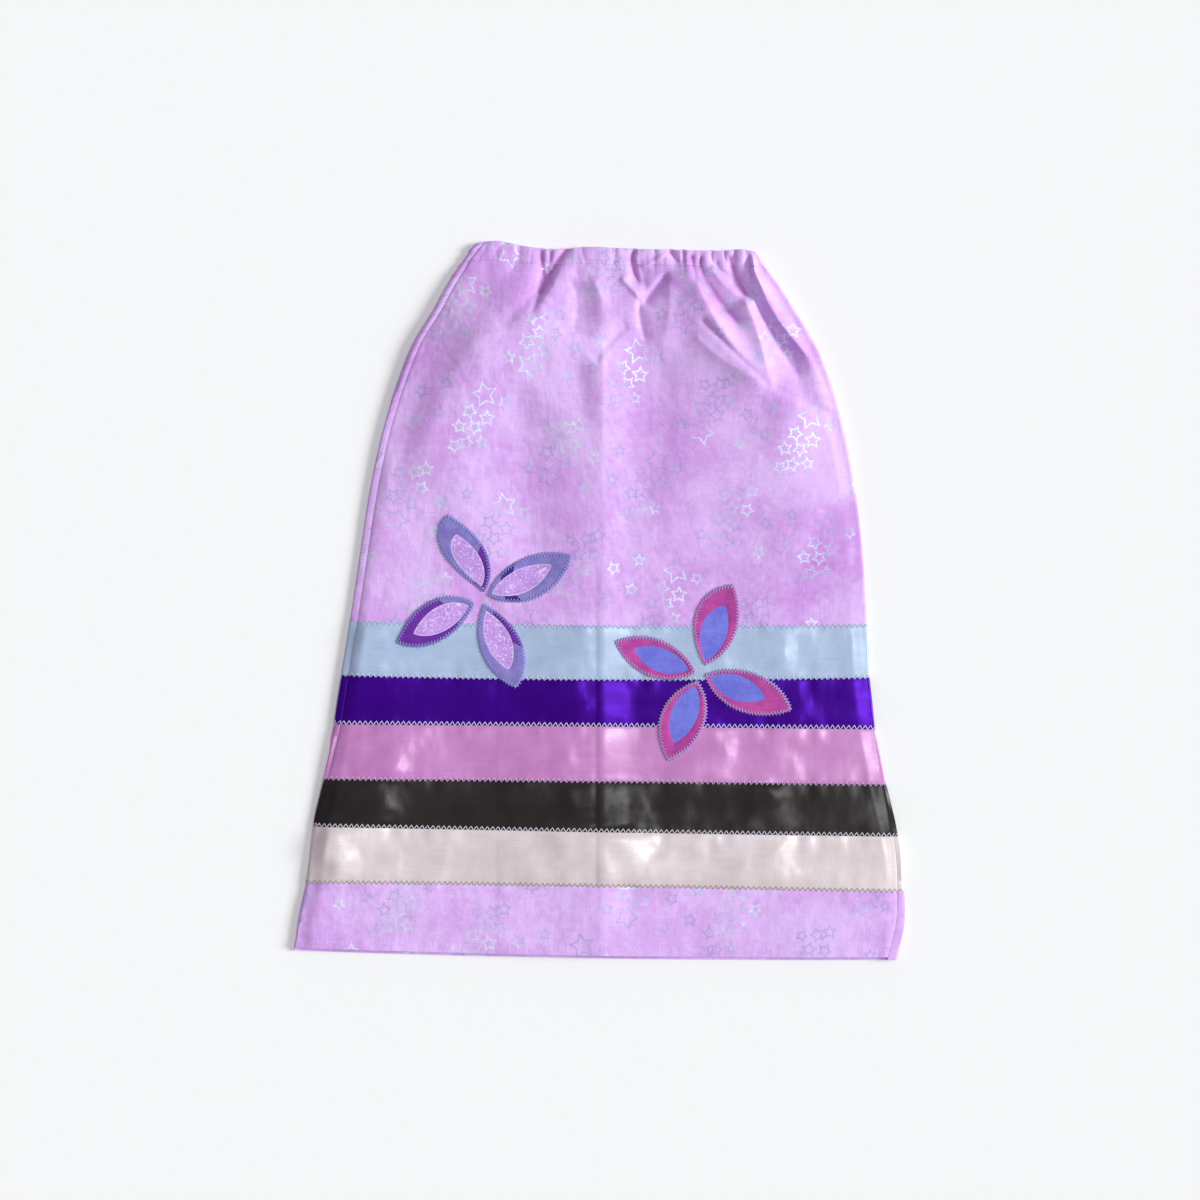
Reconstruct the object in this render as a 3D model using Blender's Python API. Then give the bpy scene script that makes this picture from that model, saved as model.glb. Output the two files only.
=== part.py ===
"""A child's ribbon skirt laid flat on its back, made piece by piece as it is sewn.

The skirt is a tube of printed cotton, gathered on elastic at the waist. Its front and back
panels meet in two side seams. Five satin ribbons run round each panel above the hem, and two
flowers of four appliqued petals are stitched to the front.

Frame: +X to the right of the laid skirt, +Y from hem to waist, +Z up. The origin is the middle
of the footprint, on the surface that the skirt lies on. Lengths are metres.

How it is worked out: `envelope` gives the skirt's outermost surface as one closed tube, from
the tables of levels and folds. Every piece is a wall between two depths under that surface,
so what is sewn on a panel follows it exactly.
"""

import math
from collections import namedtuple

import bmesh
import bpy
import numpy as np

# ---------------------------------------------------------------- driving dimensions
CLOTH_WALL = 0.0010  # one layer of cotton
CASING_WALL = 0.0018  # two layers of cotton with the elastic between them
RIBBON_WALL = 0.0010
PETAL_WALL = 0.0010
SEAM_GAP = 0.0003  # between neighbouring pieces
LAID_HEIGHT = 0.0054  # both panels with their ribbons, where the skirt lies flattest
RIBBON_DEPTH = RIBBON_WALL + SEAM_GAP  # a panel runs this far under the surface below a ribbon
RAMP_LENGTH = 0.0030  # over which a panel dips below the ribbons
WAIST_Y = 0.2531  # the waist edge at mid width
EDGE_SETTLE = 0.022  # from a side fold to where the front lies at its own height
SLACK = 0.0008  # how softly a trough in the front is stopped by the back panel
HEM_TURN = 0.0018  # the back hem shows this far beyond the front hem
CREASE_X = 0.0020  # where the pressed crease down the middle of the front runs

# Level: one line across the skirt. drop is its distance below the waist edge at mid width.
# left_rise and right_rise say how much higher than the middle its ends lie. side is the radius
# of the side folds, loft the air under the front panel at mid width, left_seam and right_seam
# how far round the fold, measured on the cloth, each side seam lies in on the front. A negative
# seam lies on the underside.
Level = namedtuple(
    "Level", "name drop left_x left_rise right_x right_rise side loft left_seam right_seam"
)
LEVELS = (
    Level("waist edge", 0.0000, -0.0885, 0.0030, 0.1125, -0.0024, 0.0029, 0.0010, 0.0064, -0.0020),
    Level("casing seam", 0.0115, -0.0983, 0.0028, 0.1192, -0.0015, 0.0032, 0.0020, 0.0065, -0.0020),
    Level("gathers", 0.0288, -0.1098, 0.0029, 0.1318, -0.0015, 0.0040, 0.0048, 0.0070, -0.0020),
    Level("upper puff", 0.0475, -0.1201, 0.0028, 0.1434, -0.0015, 0.0043, 0.0064, 0.0072, -0.0020),
    Level("lower puff", 0.0691, -0.1333, 0.0028, 0.1559, -0.0015, 0.0042, 0.0064, 0.0071, -0.0020),
    Level("hip", 0.0979, -0.1451, 0.0028, 0.1674, -0.0015, 0.0037, 0.0050, 0.0068, -0.0020),
    Level("below hip", 0.1339, -0.1562, 0.0028, 0.1770, -0.0015, 0.0033, 0.0034, 0.0066, -0.0020),
    Level("upper skirt", 0.1771, -0.1655, 0.0028, 0.1848, -0.0008, 0.0029, 0.0022, 0.0064, -0.0018),
    Level("mid skirt", 0.2275, -0.1732, 0.0028, 0.1900, 0.0000, 0.0027, 0.0014, 0.0062, -0.0012),
    Level("silver top", 0.2715, -0.1797, 0.0033, 0.1927, 0.0008, 0.0027, 0.0011, 0.0062, -0.0004),
    Level("purple top", 0.3103, -0.1860, 0.0032, 0.1947, 0.0014, 0.0027, 0.0009, 0.0061, 0.0006),
    Level("pink top", 0.3442, -0.1914, 0.0015, 0.1989, -0.0021, 0.0027, 0.0008, 0.0056, 0.0015),
    Level("black top", 0.3834, -0.1987, 0.0018, 0.2062, -0.0025, 0.0027, 0.0007, 0.0039, 0.0027),
    Level("cream top", 0.4201, -0.2065, 0.0039, 0.2149, -0.0033, 0.0027, 0.0006, 0.0029, 0.0041),
    Level("cream foot", 0.4594, -0.2119, 0.0025, 0.2194, -0.0043, 0.0027, 0.0006, 0.0017, 0.0060),
    Level("hem rise", 0.4846, -0.2169, 0.0043, 0.2197, -0.0029, 0.0027, 0.0006, 0.0008, 0.0076),
    Level("hem", 0.5091, -0.2200, 0.0056, 0.2150, -0.0012, 0.0027, 0.0006, 0.0002, 0.0088),
)
DROP = {level.name: level.drop for level in LEVELS}
PANEL_TOP = DROP["casing seam"]
HEM = DROP["hem"]

# WaistWave: where the waist edge rises or dips between its ends. at and width are shares of
# the edge's length.
WaistWave = namedtuple("WaistWave", "at width rise")
WAIST_WAVES = (
    WaistWave(0.07, 0.07, 0.0030),
    WaistWave(0.27, 0.08, -0.0020),
    WaistWave(0.42, 0.07, 0.0008),
    WaistWave(0.95, 0.04, 0.0016),
)
WAIST_WAVE_REACH = 0.020  # the waves die out this far below the edge

# Fold: a ridge (height above 0) or trough (below 0) of the front, along a curve through its
# start, middle and end. Width is the half width. Both change evenly from start to end.
Fold = namedtuple("Fold", "name x0 y0 x1 y1 x2 y2 width0 width2 height0 height2")
SOFT_FOLDS = (
    # pleats that start in the casing, from left to right
    Fold("corner nick", -0.0673, 0.2581, -0.0724, 0.2538, -0.0752, 0.2495, 0.0040, 0.0040, -0.0012, -0.0008),
    Fold("left dimple", -0.0580, 0.2560, -0.0594, 0.2473, -0.0623, 0.2387, 0.0042, 0.0050, -0.0010, -0.0008),
    Fold("main pleat", -0.0392, 0.2524, -0.0380, 0.2430, -0.0385, 0.2322, 0.0036, 0.0038, -0.0030, -0.0026),
    Fold("pleat branch", -0.0234, 0.2516, -0.0342, 0.2365, -0.0450, 0.2156, 0.0036, 0.0036, -0.0026, -0.0016),
    Fold("pleat hollow", -0.0464, 0.2430, -0.0522, 0.2243, -0.0724, 0.1998, 0.0070, 0.0090, -0.0013, -0.0012),
    Fold("middle pleat", 0.0248, 0.2524, 0.0241, 0.2437, 0.0256, 0.2365, 0.0036, 0.0036, -0.0028, -0.0024),
    Fold("short pleat", 0.0508, 0.2509, 0.0522, 0.2480, 0.0551, 0.2444, 0.0036, 0.0036, -0.0026, -0.0014),
    Fold("right pleat 1", 0.0659, 0.2473, 0.0680, 0.2387, 0.0695, 0.2300, 0.0034, 0.0034, -0.0020, -0.0014),
    Fold("right pleat 2", 0.0947, 0.2466, 0.0976, 0.2387, 0.1019, 0.2300, 0.0034, 0.0034, -0.0018, -0.0022),
    Fold("right pleat 3", 0.1040, 0.2452, 0.1062, 0.2380, 0.1098, 0.2300, 0.0034, 0.0034, -0.0018, -0.0018),
    # round the pocket of cloth below the middle of the casing
    Fold("soft crest", -0.0032, 0.2272, 0.0018, 0.2113, -0.0004, 0.1940, 0.0060, 0.0080, 0.0024, 0.0010),
    Fold("centre crest", 0.0587, 0.2300, 0.0565, 0.2084, 0.0486, 0.1832, 0.0050, 0.0070, 0.0016, 0.0008),
    Fold("arm left", 0.0169, 0.2293, 0.0241, 0.2243, 0.0313, 0.2192, 0.0034, 0.0034, 0.0010, 0.0013),
    Fold("arm right", 0.0306, 0.2185, 0.0371, 0.2236, 0.0450, 0.2336, 0.0034, 0.0034, 0.0016, 0.0018),
    Fold("pocket", 0.0241, 0.2387, 0.0270, 0.2308, 0.0313, 0.2228, 0.0040, 0.0040, -0.0018, -0.0016),
    # the long valley below the right of the casing, and what runs beside it
    Fold("band groove", 0.0796, 0.1991, 0.0961, 0.1804, 0.1163, 0.1580, 0.0034, 0.0036, -0.0015, -0.0012),
    Fold("band lip", 0.0702, 0.1883, 0.0947, 0.1681, 0.1436, 0.1408, 0.0036, 0.0050, 0.0010, 0.0007),
    Fold("inner groove", 0.0738, 0.2459, 0.0788, 0.2250, 0.0925, 0.2084, 0.0034, 0.0036, -0.0026, -0.0024),
    Fold("finger", 0.0817, 0.2372, 0.0896, 0.2264, 0.1062, 0.2142, 0.0034, 0.0036, 0.0012, 0.0010),
    Fold("deep valley", 0.0961, 0.2387, 0.1127, 0.2164, 0.1393, 0.1840, 0.0042, 0.0068, -0.0042, -0.0044),
    Fold("valley floor", 0.1321, 0.1868, 0.1364, 0.1681, 0.1480, 0.1451, 0.0080, 0.0090, -0.0036, -0.0016),
    Fold("valley end", 0.1271, 0.1516, 0.1480, 0.1415, 0.1710, 0.1321, 0.0040, 0.0038, -0.0012, -0.0018),
    Fold("flap foot", 0.1537, 0.1681, 0.1631, 0.1508, 0.1739, 0.1307, 0.0040, 0.0050, 0.0020, 0.0014),
    # broad swells of the loose cloth lower down
    Fold("left hollow", -0.1156, 0.1832, -0.1300, 0.1544, -0.1429, 0.1220, 0.0140, 0.0140, -0.0008, -0.0008),
    Fold("crease slope", -0.0162, 0.1638, -0.0133, 0.1436, -0.0090, 0.1148, 0.0090, 0.0100, -0.0014, -0.0005),
    Fold("right hollow", 0.0392, 0.1652, 0.0342, 0.1220, 0.0356, 0.0716, 0.0200, 0.0240, -0.0022, -0.0012),
    Fold("middle hollow", -0.0580, 0.1292, -0.0544, 0.0860, -0.0472, 0.0284, 0.018, 0.0200, -0.0015, -0.0010),
    Fold("hip crest", 0.1350, 0.1350, 0.1321, 0.1004, 0.1336, 0.0428, 0.0220, 0.0260, 0.0036, 0.0018),
    Fold("left crest", -0.0940, 0.0860, -0.1069, 0.0428, -0.1228, -0.0148, 0.0160, 0.0200, 0.0008, 0.0005),
)
# steep on the right of the line from start to end, LEAN times wider on its left
LEANING_FOLDS = (
    Fold("pleat rise", -0.0248, 0.2430, -0.0342, 0.2264, -0.0436, 0.2128, 0.0040, 0.0050, 0.0016, 0.0018),
    Fold("swept ridge", -0.0349, 0.2185, -0.0637, 0.1969, -0.1098, 0.1753, 0.0065, 0.0090, 0.0018, 0.0010),
    Fold("left ridge", -0.0256, 0.2300, -0.0997, 0.1609, -0.1336, 0.0680, 0.0180, 0.0160, 0.0046, 0.0022),
    Fold("soft trough", -0.0212, 0.2372, -0.0126, 0.2128, -0.0248, 0.1796, 0.0042, 0.0050, -0.0017, -0.0014),
    Fold("centre trough", 0.0486, 0.2372, 0.0356, 0.2113, 0.0299, 0.1753, 0.0040, 0.0046, -0.0036, -0.0028),
    Fold("band", 0.1307, 0.1436, 0.0832, 0.1998, 0.0616, 0.2560, 0.0038, 0.0038, 0.0038, 0.0030),
    Fold("lobe", 0.1292, 0.1566, 0.1206, 0.1926, 0.1076, 0.2286, 0.0036, 0.0036, 0.0038, 0.0044),
    Fold("flap", 0.1110, 0.2600, 0.1200, 0.2200, 0.1624, 0.1638, 0.0036, 0.0038, 0.0042, 0.0040),
)
# the crease of a skirt stored folded in half: a straight slope on either side of its edge
PRESSED_FOLDS = (
    Fold("crease turn", 0.0011, 0.1710, 0.0054, 0.1840, 0.0212, 0.1969, 0.0070, 0.0050, 0.0020, 0.0012),
    Fold("centre crease", 0.0020, -0.2596, 0.0020, -0.0292, 0.0010, 0.1825, 0.0220, 0.020, 0.0028, 0.0022),
)
LEAN = 2.8
LEAN_FADE = 0.20  # the share of a leaning fold over which each of its ends dies out
EDGE_ROUNDING = 6.0  # how sharp the edge of a pressed fold is

# Ribbon: one band of satin, between two levels.
Ribbon = namedtuple("Ribbon", "colour top foot")
RIBBONS = (
    Ribbon("silver", "silver top", "purple top"),
    Ribbon("purple", "purple top", "pink top"),
    Ribbon("pink", "pink top", "black top"),
    Ribbon("black", "black top", "cream top"),
    Ribbon("cream", "cream top", "cream foot"),
)

# Petal: a leaf of cloth from base to tip. Each side bulges by its width, furthest at the share
# `peak` of the length. Left is the side to the left on the way from base to tip. The insert is
# the leaf of a second cloth that shows in its window, from insert_from to insert_to of the
# length and insert_width of the leaf's width.
Petal = namedtuple(
    "Petal",
    "name base_x base_y tip_x tip_y left left_peak right right_peak insert_from insert_to insert_width",
)
LILAC_PETALS = (
    Petal("upper_left", -0.0839, 0.0058, -0.1091, 0.0611, 0.0149, 0.68, 0.0138, 0.42, 0.07, 0.75, 0.60),
    Petal("upper_right", -0.0803, 0.0032, -0.0203, 0.0322, 0.0130, 0.47, 0.0165, 0.50, 0.05, 0.76, 0.58),
    Petal("lower_left", -0.0904, -0.0025, -0.1464, -0.0302, 0.0132, 0.54, 0.0154, 0.45, 0.07, 0.78, 0.62),
    Petal("lower_right", -0.0832, -0.0030, -0.0606, -0.0630, 0.0156, 0.56, 0.0142, 0.50, 0.08, 0.78, 0.60),
)
BERRY_PETALS = (
    Petal("upper", 0.0749, -0.0465, 0.0959, 0.0108, 0.0186, 0.56, 0.0138, 0.47, 0.05, 0.74, 0.60),
    Petal("left", 0.0687, -0.0519, 0.0107, -0.0299, 0.0144, 0.49, 0.0128, 0.50, 0.08, 0.76, 0.62),
    Petal("right", 0.0757, -0.0534, 0.1375, -0.0791, 0.0144, 0.53, 0.0148, 0.47, 0.06, 0.70, 0.62),
    Petal("lower", 0.0699, -0.0585, 0.0489, -0.1156, 0.0154, 0.47, 0.0163, 0.50, 0.06, 0.78, 0.60),
)
LEAF_FULLNESS = 1.70  # 2 gives straight sides to the points, 1 a round leaf
PETAL_STATIONS = 9  # along each side of a petal

# ---------------------------------------------------------------- how finely the walls are cut
# Distances in from a side seam, on the cloth, at which a piece has columns round the side fold.
FRONT_LEFT_COLUMNS = (0.0, 0.004, 0.010)
FRONT_RIGHT_COLUMNS = (0.0, 0.002, 0.004, 0.006, 0.0085, 0.012)
BACK_RIGHT_COLUMNS = (0.0, 0.002, 0.004, 0.006, 0.008, 0.010, 0.012, 0.014, 0.018)
BACK_LEFT_COLUMNS = (0.0, 0.002, 0.004, 0.006, 0.008, 0.010, 0.012, 0.015)
FINE_CELLS = 60  # between those, across the gathered part of the front
BACK_CELLS = 10
FINE_ROWS_END = 0.128  # drop at which the front goes over to half as many columns
CASING_ROWS = (0.0, 0.0012, 0.0060)
GATHER_ROWS = (0.0165, 0.0225, 0.0295, 0.0370, 0.0450, 0.0540, 0.0640, 0.0760, 0.0900, 0.1080)
SKIRT_ROWS = (0.1520, 0.1780, 0.2050, 0.2320, 0.2560)
HEM_ROWS = (0.4760, 0.4930)
NORMAL_STEP = 0.0003  # the distance over which the surface's slope is read
CURVE_SAMPLES = 21  # points read along each fold

# ---------------------------------------------------------------- colours, as seen on screen
COTTON = (0.86, 0.70, 0.94)
SATIN = {
    "silver": (0.71, 0.78, 0.88),
    "purple": (0.25, 0.04, 0.52),
    "pink": (0.80, 0.56, 0.78),
    "black": (0.18, 0.16, 0.17),
    "cream": (0.87, 0.82, 0.83),
}
LILAC = (0.51, 0.47, 0.77)
SWIRL = (0.75, 0.58, 0.90)
BERRY = (0.66, 0.32, 0.64)
PERIWINKLE = (0.44, 0.47, 0.85)
COTTON_ROUGHNESS = 0.85
SATIN_ROUGHNESS = 0.35


# ---------------------------------------------------------------- the tables as smooth functions
def column(name):
    """One column of the levels table."""
    return np.array([getattr(level, name) for level in LEVELS])


def through(drops, values, drop):
    """A smooth curve through the values at the drops, read at drop."""
    slopes = np.gradient(values, drops)
    drop = np.asarray(drop, float)
    cell = np.clip(np.searchsorted(drops, drop, side="right") - 1, 0, len(drops) - 2)
    span = drops[cell + 1] - drops[cell]
    t = np.clip((drop - drops[cell]) / span, -0.2, 1.2)
    t2, t3 = t * t, t * t * t
    return (
        (2 * t3 - 3 * t2 + 1) * values[cell]
        + (t3 - 2 * t2 + t) * span * slopes[cell]
        + (3 * t2 - 2 * t3) * values[cell + 1]
        + (t3 - t2) * span * slopes[cell + 1]
    )


def at_level(name, drop):
    """The value of one column at any drop."""
    return through(column("drop"), column(name), drop)


def smooth_step(t):
    """0 below 0 and 1 above 1, with a soft start and end."""
    t = np.clip(t, 0.0, 1.0)
    return t * t * (3 - 2 * t)


def y_of(x, drop):
    """How far up the laid skirt the level at drop lies, at x."""
    left, right = at_level("left_x", drop), at_level("right_x", drop)
    across = (x - left) / (right - left)
    rise = at_level("left_rise", drop) * (1 - across) * (1 - 2 * across)
    rise = rise + at_level("right_rise", drop) * across * (2 * across - 1)
    fade = 1 - smooth_step(drop / WAIST_WAVE_REACH)
    for wave in WAIST_WAVES:
        rise = rise + fade * wave.rise * np.exp(-(((across - wave.at) / wave.width) ** 2))
    return WAIST_Y - drop + rise


def drop_of(x, y):
    """The level that passes through a point of the front, the inverse of y_of."""
    drop = WAIST_Y - np.asarray(y, float)
    for _ in range(6):
        drop = drop + y_of(x, drop) - y
    return drop


def soft_section(aside, beyond, width):
    """Height of a soft fold, 1 on its line. aside is the distance to the left of the line,
    beyond that past its ends."""
    return np.exp(-(aside**2 + beyond**2) / width**2)


def leaning_section(aside, beyond, width):
    """The same for a fold that is wider on the left of its line."""
    return soft_section(np.where(aside > 0, aside / LEAN, aside), beyond, width)


def pressed_section(aside, beyond, width):
    """The same for a fold with straight slopes."""
    away = np.hypot(np.where(aside > 0, aside / LEAN, aside), beyond) / width
    return np.log1p(np.exp(EDGE_ROUNDING * (1 - away))) / EDGE_ROUNDING


def fold_height(fold, section, x, y):
    """What one fold adds to the height of the front at the points (x, y)."""
    t = np.linspace(0.0, 1.0, CURVE_SAMPLES)
    toward = 2 * fold.x1 - (fold.x0 + fold.x2) / 2, 2 * fold.y1 - (fold.y0 + fold.y2) / 2
    line_x = (1 - t) ** 2 * fold.x0 + 2 * t * (1 - t) * toward[0] + t**2 * fold.x2
    line_y = (1 - t) ** 2 * fold.y0 + 2 * t * (1 - t) * toward[1] + t**2 * fold.y2
    nearest = ((x[..., None] - line_x) ** 2 + (y[..., None] - line_y) ** 2).argmin(axis=-1)
    run_x, run_y = np.gradient(line_x)[nearest], np.gradient(line_y)[nearest]
    step = np.hypot(run_x, run_y)
    off_x, off_y = x - line_x[nearest], y - line_y[nearest]
    past = (off_x * run_x + off_y * run_y) / step**2
    aside = (off_y * run_x - off_x * run_y) / step
    t = np.clip(t[nearest] + past * t[1], 0.0, 1.0)
    beyond = np.where(t * (1 - t) == 0, np.abs(past) * step, 0.0)
    width = fold.width0 + (fold.width2 - fold.width0) * t
    height = fold.height0 + (fold.height2 - fold.height0) * t
    if section is leaning_section:
        height = height * smooth_step(t / LEAN_FADE) * smooth_step((1 - t) / LEAN_FADE)
    return height * section(aside, beyond, width)


def front_height(x, drop):
    """Height of the front's outer surface above what the skirt lies on."""
    left, right = at_level("left_x", drop), at_level("right_x", drop)
    side = at_level("side", drop)
    across = np.clip((x - left) / (right - left), 0.0, 1.0)
    y = y_of(x, drop)
    raised = at_level("loft", drop) * np.sqrt(4 * across * (1 - across))
    for fold in SOFT_FOLDS:
        raised = raised + fold_height(fold, soft_section, x, y)
    for fold in LEANING_FOLDS:
        raised = raised + fold_height(fold, leaning_section, x, y)
    for fold in PRESSED_FOLDS:
        raised = raised + fold_height(fold, pressed_section, x, y)
    raised = (raised + np.sqrt(raised**2 + SLACK**2)) / 2
    inward = np.minimum(x - left, right - x) - side
    settled = smooth_step(inward / EDGE_SETTLE)
    return 2 * side * (1 - settled) + (LAID_HEIGHT + raised) * settled


def girth(drop):
    """The length of cloth round the whole tube at a drop."""
    flat = at_level("right_x", drop) - at_level("left_x", drop) - 2 * at_level("side", drop)
    return 2 * flat + 2 * math.pi * at_level("side", drop)


def envelope(round_way, drop):
    """Points of the skirt's outermost surface. round_way is the distance round the tube from
    the left side fold, over the front, round the right side fold and back under the skirt."""
    round_way, drop = np.broadcast_arrays(np.asarray(round_way, float), np.asarray(drop, float))
    left, right = at_level("left_x", drop), at_level("right_x", drop)
    side = at_level("side", drop)
    quarter = math.pi * side / 2
    flat = right - left - 2 * side
    whole = girth(drop)
    way = np.mod(round_way, whole)
    way = np.where(way > whole - quarter, way - whole, way)
    left_turn = way / side
    right_turn = (way - quarter - flat) / side - math.pi / 2
    under = way - 3 * quarter - flat
    on_left, on_front = way < quarter, way < quarter + flat
    on_right = way < 3 * quarter + flat
    x = np.select(
        [on_left, on_front, on_right],
        [left + side - side * np.cos(left_turn), left + side + way - quarter,
         right - side + side * np.cos(right_turn)],
        right - side - under,
    )
    z = np.select(
        [on_left, on_front, on_right],
        [side + side * np.sin(left_turn), front_height(x, drop), side - side * np.sin(right_turn)],
        0.0,
    )
    return np.stack([x, y_of(x, drop), z], axis=-1)


def under_surface(round_way, drop, depth):
    """Points at a depth under the skirt's outermost surface, measured square to it."""
    step = NORMAL_STEP
    across = envelope(round_way + step, drop) - envelope(round_way - step, drop)
    along = envelope(round_way, drop - step) - envelope(round_way, drop + step)
    normal = np.cross(across, along)
    normal /= np.linalg.norm(normal, axis=-1, keepdims=True)
    return envelope(round_way, drop) - normal * np.asarray(depth, float)[..., None]


def ribbon_dip(drop):
    """The depth at which a panel passes under the ribbons, 0 clear of them."""
    top, foot = DROP["silver top"] - SEAM_GAP, DROP["cream foot"] + SEAM_GAP
    down = np.clip((drop - (top - RAMP_LENGTH)) / RAMP_LENGTH, 0.0, 1.0)
    up = np.clip((foot + RAMP_LENGTH - drop) / RAMP_LENGTH, 0.0, 1.0)
    return RIBBON_DEPTH * np.minimum(down, up)


# ---------------------------------------------------------------- meshes
def new_object(name, material, vertices, faces):
    """A closed solid, its faces turned outwards, shaded smooth but for its edges."""
    mesh = bpy.data.meshes.new(name)
    mesh.from_pydata([tuple(map(float, v)) for v in vertices], [], faces)
    work = bmesh.new()
    work.from_mesh(mesh)
    bmesh.ops.recalc_face_normals(work, faces=work.faces)
    work.to_mesh(mesh)
    work.free()
    mesh.materials.append(material)
    mesh.shade_smooth()
    mesh.set_sharp_from_angle(angle=math.radians(40))
    made = bpy.data.objects.new(name, mesh)
    bpy.context.scene.collection.objects.link(made)
    return made


def bridged(upper, upper_columns, lower, lower_columns):
    """Faces between two rows of vertices. Each cell of the row with fewer columns is one face."""
    if len(upper) < len(lower):
        turned = bridged(lower, lower_columns, upper, upper_columns)
        return [tuple(reversed(face)) for face in turned]
    faces = []
    for k in range(len(lower) - 1):
        low, high = lower_columns[k], lower_columns[k + 1]
        over = [v for v, place in zip(upper, upper_columns) if low <= place <= high]
        faces.append((lower[k], lower[k + 1], *reversed(over)))
    return faces


def wall(name, material, rows, outer_depth, inner_depth, ways):
    """A cloth wall on the skirt's surface. rows are (drop, columns), ways(drop, columns) gives
    where the columns lie round the tube, and the depths are functions of drop."""
    vertices, faces, layers = [], [], []
    for depth_at in (outer_depth, inner_depth):
        layer = []
        for drop, columns in rows:
            drops = np.full(len(columns), drop)
            depths = np.full(len(columns), depth_at(drop))
            layer.append(list(range(len(vertices), len(vertices) + len(columns))))
            vertices.extend(under_surface(ways(drop, columns), drops, depths))
        layers.append(layer)
    outer, inner = layers
    for layer in layers:
        for i in range(len(rows) - 1):
            faces += bridged(layer[i], rows[i][1], layer[i + 1], rows[i + 1][1])
    for end in (0, -1):
        for k in range(len(outer[end]) - 1):
            faces.append((outer[end][k], outer[end][k + 1], inner[end][k + 1], inner[end][k]))
        for i in range(len(rows) - 1):
            faces.append((outer[i][end], outer[i + 1][end], inner[i + 1][end], inner[i][end]))
    return new_object(name, material, vertices, faces)


def columns_of(first, cells, last):
    """Places of a piece's columns: (share of the way across, distance added to it). Those in
    first and last lie at set distances from its seams, the rest is cut into even cells."""
    inside = [round(k / cells, 6) for k in range(1, cells)]
    return (
        *((0.0, near) for near in first),
        *((share, first[-1] * (1 - share) - last[-1] * share) for share in inside),
        *((1.0, -near) for near in reversed(last)),
    )


def front_columns(step):
    """Columns of a front piece: every step-th cell, and one each side of the pressed crease."""
    every = columns_of(FRONT_LEFT_COLUMNS, FINE_CELLS, FRONT_RIGHT_COLUMNS)
    middle = len(FRONT_LEFT_COLUMNS) - 1 + FINE_CELLS // 2
    kept = []
    for k, place in enumerate(every):
        near_side = place[0] in (0.0, 1.0)
        if near_side or (k - middle) % step == 0 or abs(k - middle) == 1:
            kept.append(place)
    return tuple(kept)


def front_ways(drop, columns):
    """Where columns of the front lie round the tube at a drop, the middle one on the crease."""
    half = girth(drop) / 2
    start = at_level("left_seam", drop) + SEAM_GAP / 2
    end = half - at_level("right_seam", drop) - SEAM_GAP / 2
    side = at_level("side", drop)
    crease = CREASE_X - at_level("left_x", drop) - side + math.pi * side / 2
    even_middle = start + (end - start + FRONT_LEFT_COLUMNS[-1] - FRONT_RIGHT_COLUMNS[-1]) / 2
    share, near = np.array(columns).T
    return start + (end - start) * share + near + (crease - even_middle) * 4 * share * (1 - share)


def back_ways(drop, columns):
    """Where columns of the back lie round the tube at a drop."""
    half = girth(drop) / 2
    start = half - at_level("right_seam", drop) + SEAM_GAP / 2
    end = 2 * half + at_level("left_seam", drop) - SEAM_GAP / 2
    share, near = np.array(columns).T
    return start + (end - start) * share + near


def with_columns(drops, columns):
    """Rows of one wall at these drops, all cut into the same columns."""
    return [(drop, columns) for drop in sorted(drops)]


def around_ribbons():
    """Drops at which a panel has rows so that it follows the ribbons above it."""
    top, foot = DROP["silver top"] - SEAM_GAP, DROP["cream foot"] + SEAM_GAP
    edges = [DROP[ribbon.top] for ribbon in RIBBONS[1:]]
    return [top - RAMP_LENGTH, top, *edges, foot, foot + RAMP_LENGTH]


# ---------------------------------------------------------------- materials
def finish(name, colour, roughness):
    """A material of one plain colour. Colours are stated as seen on screen."""
    material = bpy.data.materials.new(name)
    material.use_nodes = True
    shader = material.node_tree.nodes["Principled BSDF"]
    linear = [((c + 0.055) / 1.055) ** 2.4 if c > 0.04 else c / 12.92 for c in colour]
    shader.inputs["Base Color"].default_value = (*linear, 1.0)
    shader.inputs["Roughness"].default_value = roughness
    shader.inputs["Metallic"].default_value = 0.0
    return material


# ---------------------------------------------------------------- the pieces
def make_panels(cotton):
    """The front and back panels, from the casing seam to the hem."""
    top = PANEL_TOP + SEAM_GAP / 2
    gathered = [top, *GATHER_ROWS, FINE_ROWS_END]
    plain = [*SKIRT_ROWS, *around_ribbons(), *HEM_ROWS, HEM]
    back = columns_of(BACK_RIGHT_COLUMNS, BACK_CELLS, BACK_LEFT_COLUMNS)
    for name, rows, ways in (
        (
            "front_panel",
            with_columns(gathered, front_columns(1)) + with_columns(plain, front_columns(2)),
            front_ways,
        ),
        ("back_panel", with_columns([*gathered, *plain, HEM + HEM_TURN], back), back_ways),
    ):
        wall(name, cotton, rows, ribbon_dip, lambda drop: ribbon_dip(drop) + CLOTH_WALL, ways)


def make_casings(cotton):
    """The turned-over top of each panel that holds the elastic, its top edge rounded."""
    top_round = CASING_WALL / 4
    rows = [*CASING_ROWS, PANEL_TOP - SEAM_GAP / 2]
    back = columns_of(BACK_RIGHT_COLUMNS, BACK_CELLS, BACK_LEFT_COLUMNS)
    for name, columns, ways in (
        ("front_casing", front_columns(1), front_ways),
        ("back_casing", back, back_ways),
    ):
        wall(
            name, cotton, with_columns(rows, columns),
            lambda drop: top_round * (drop < CASING_ROWS[1]),
            lambda drop: CASING_WALL - top_round * (drop < CASING_ROWS[1]), ways,
        )


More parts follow.
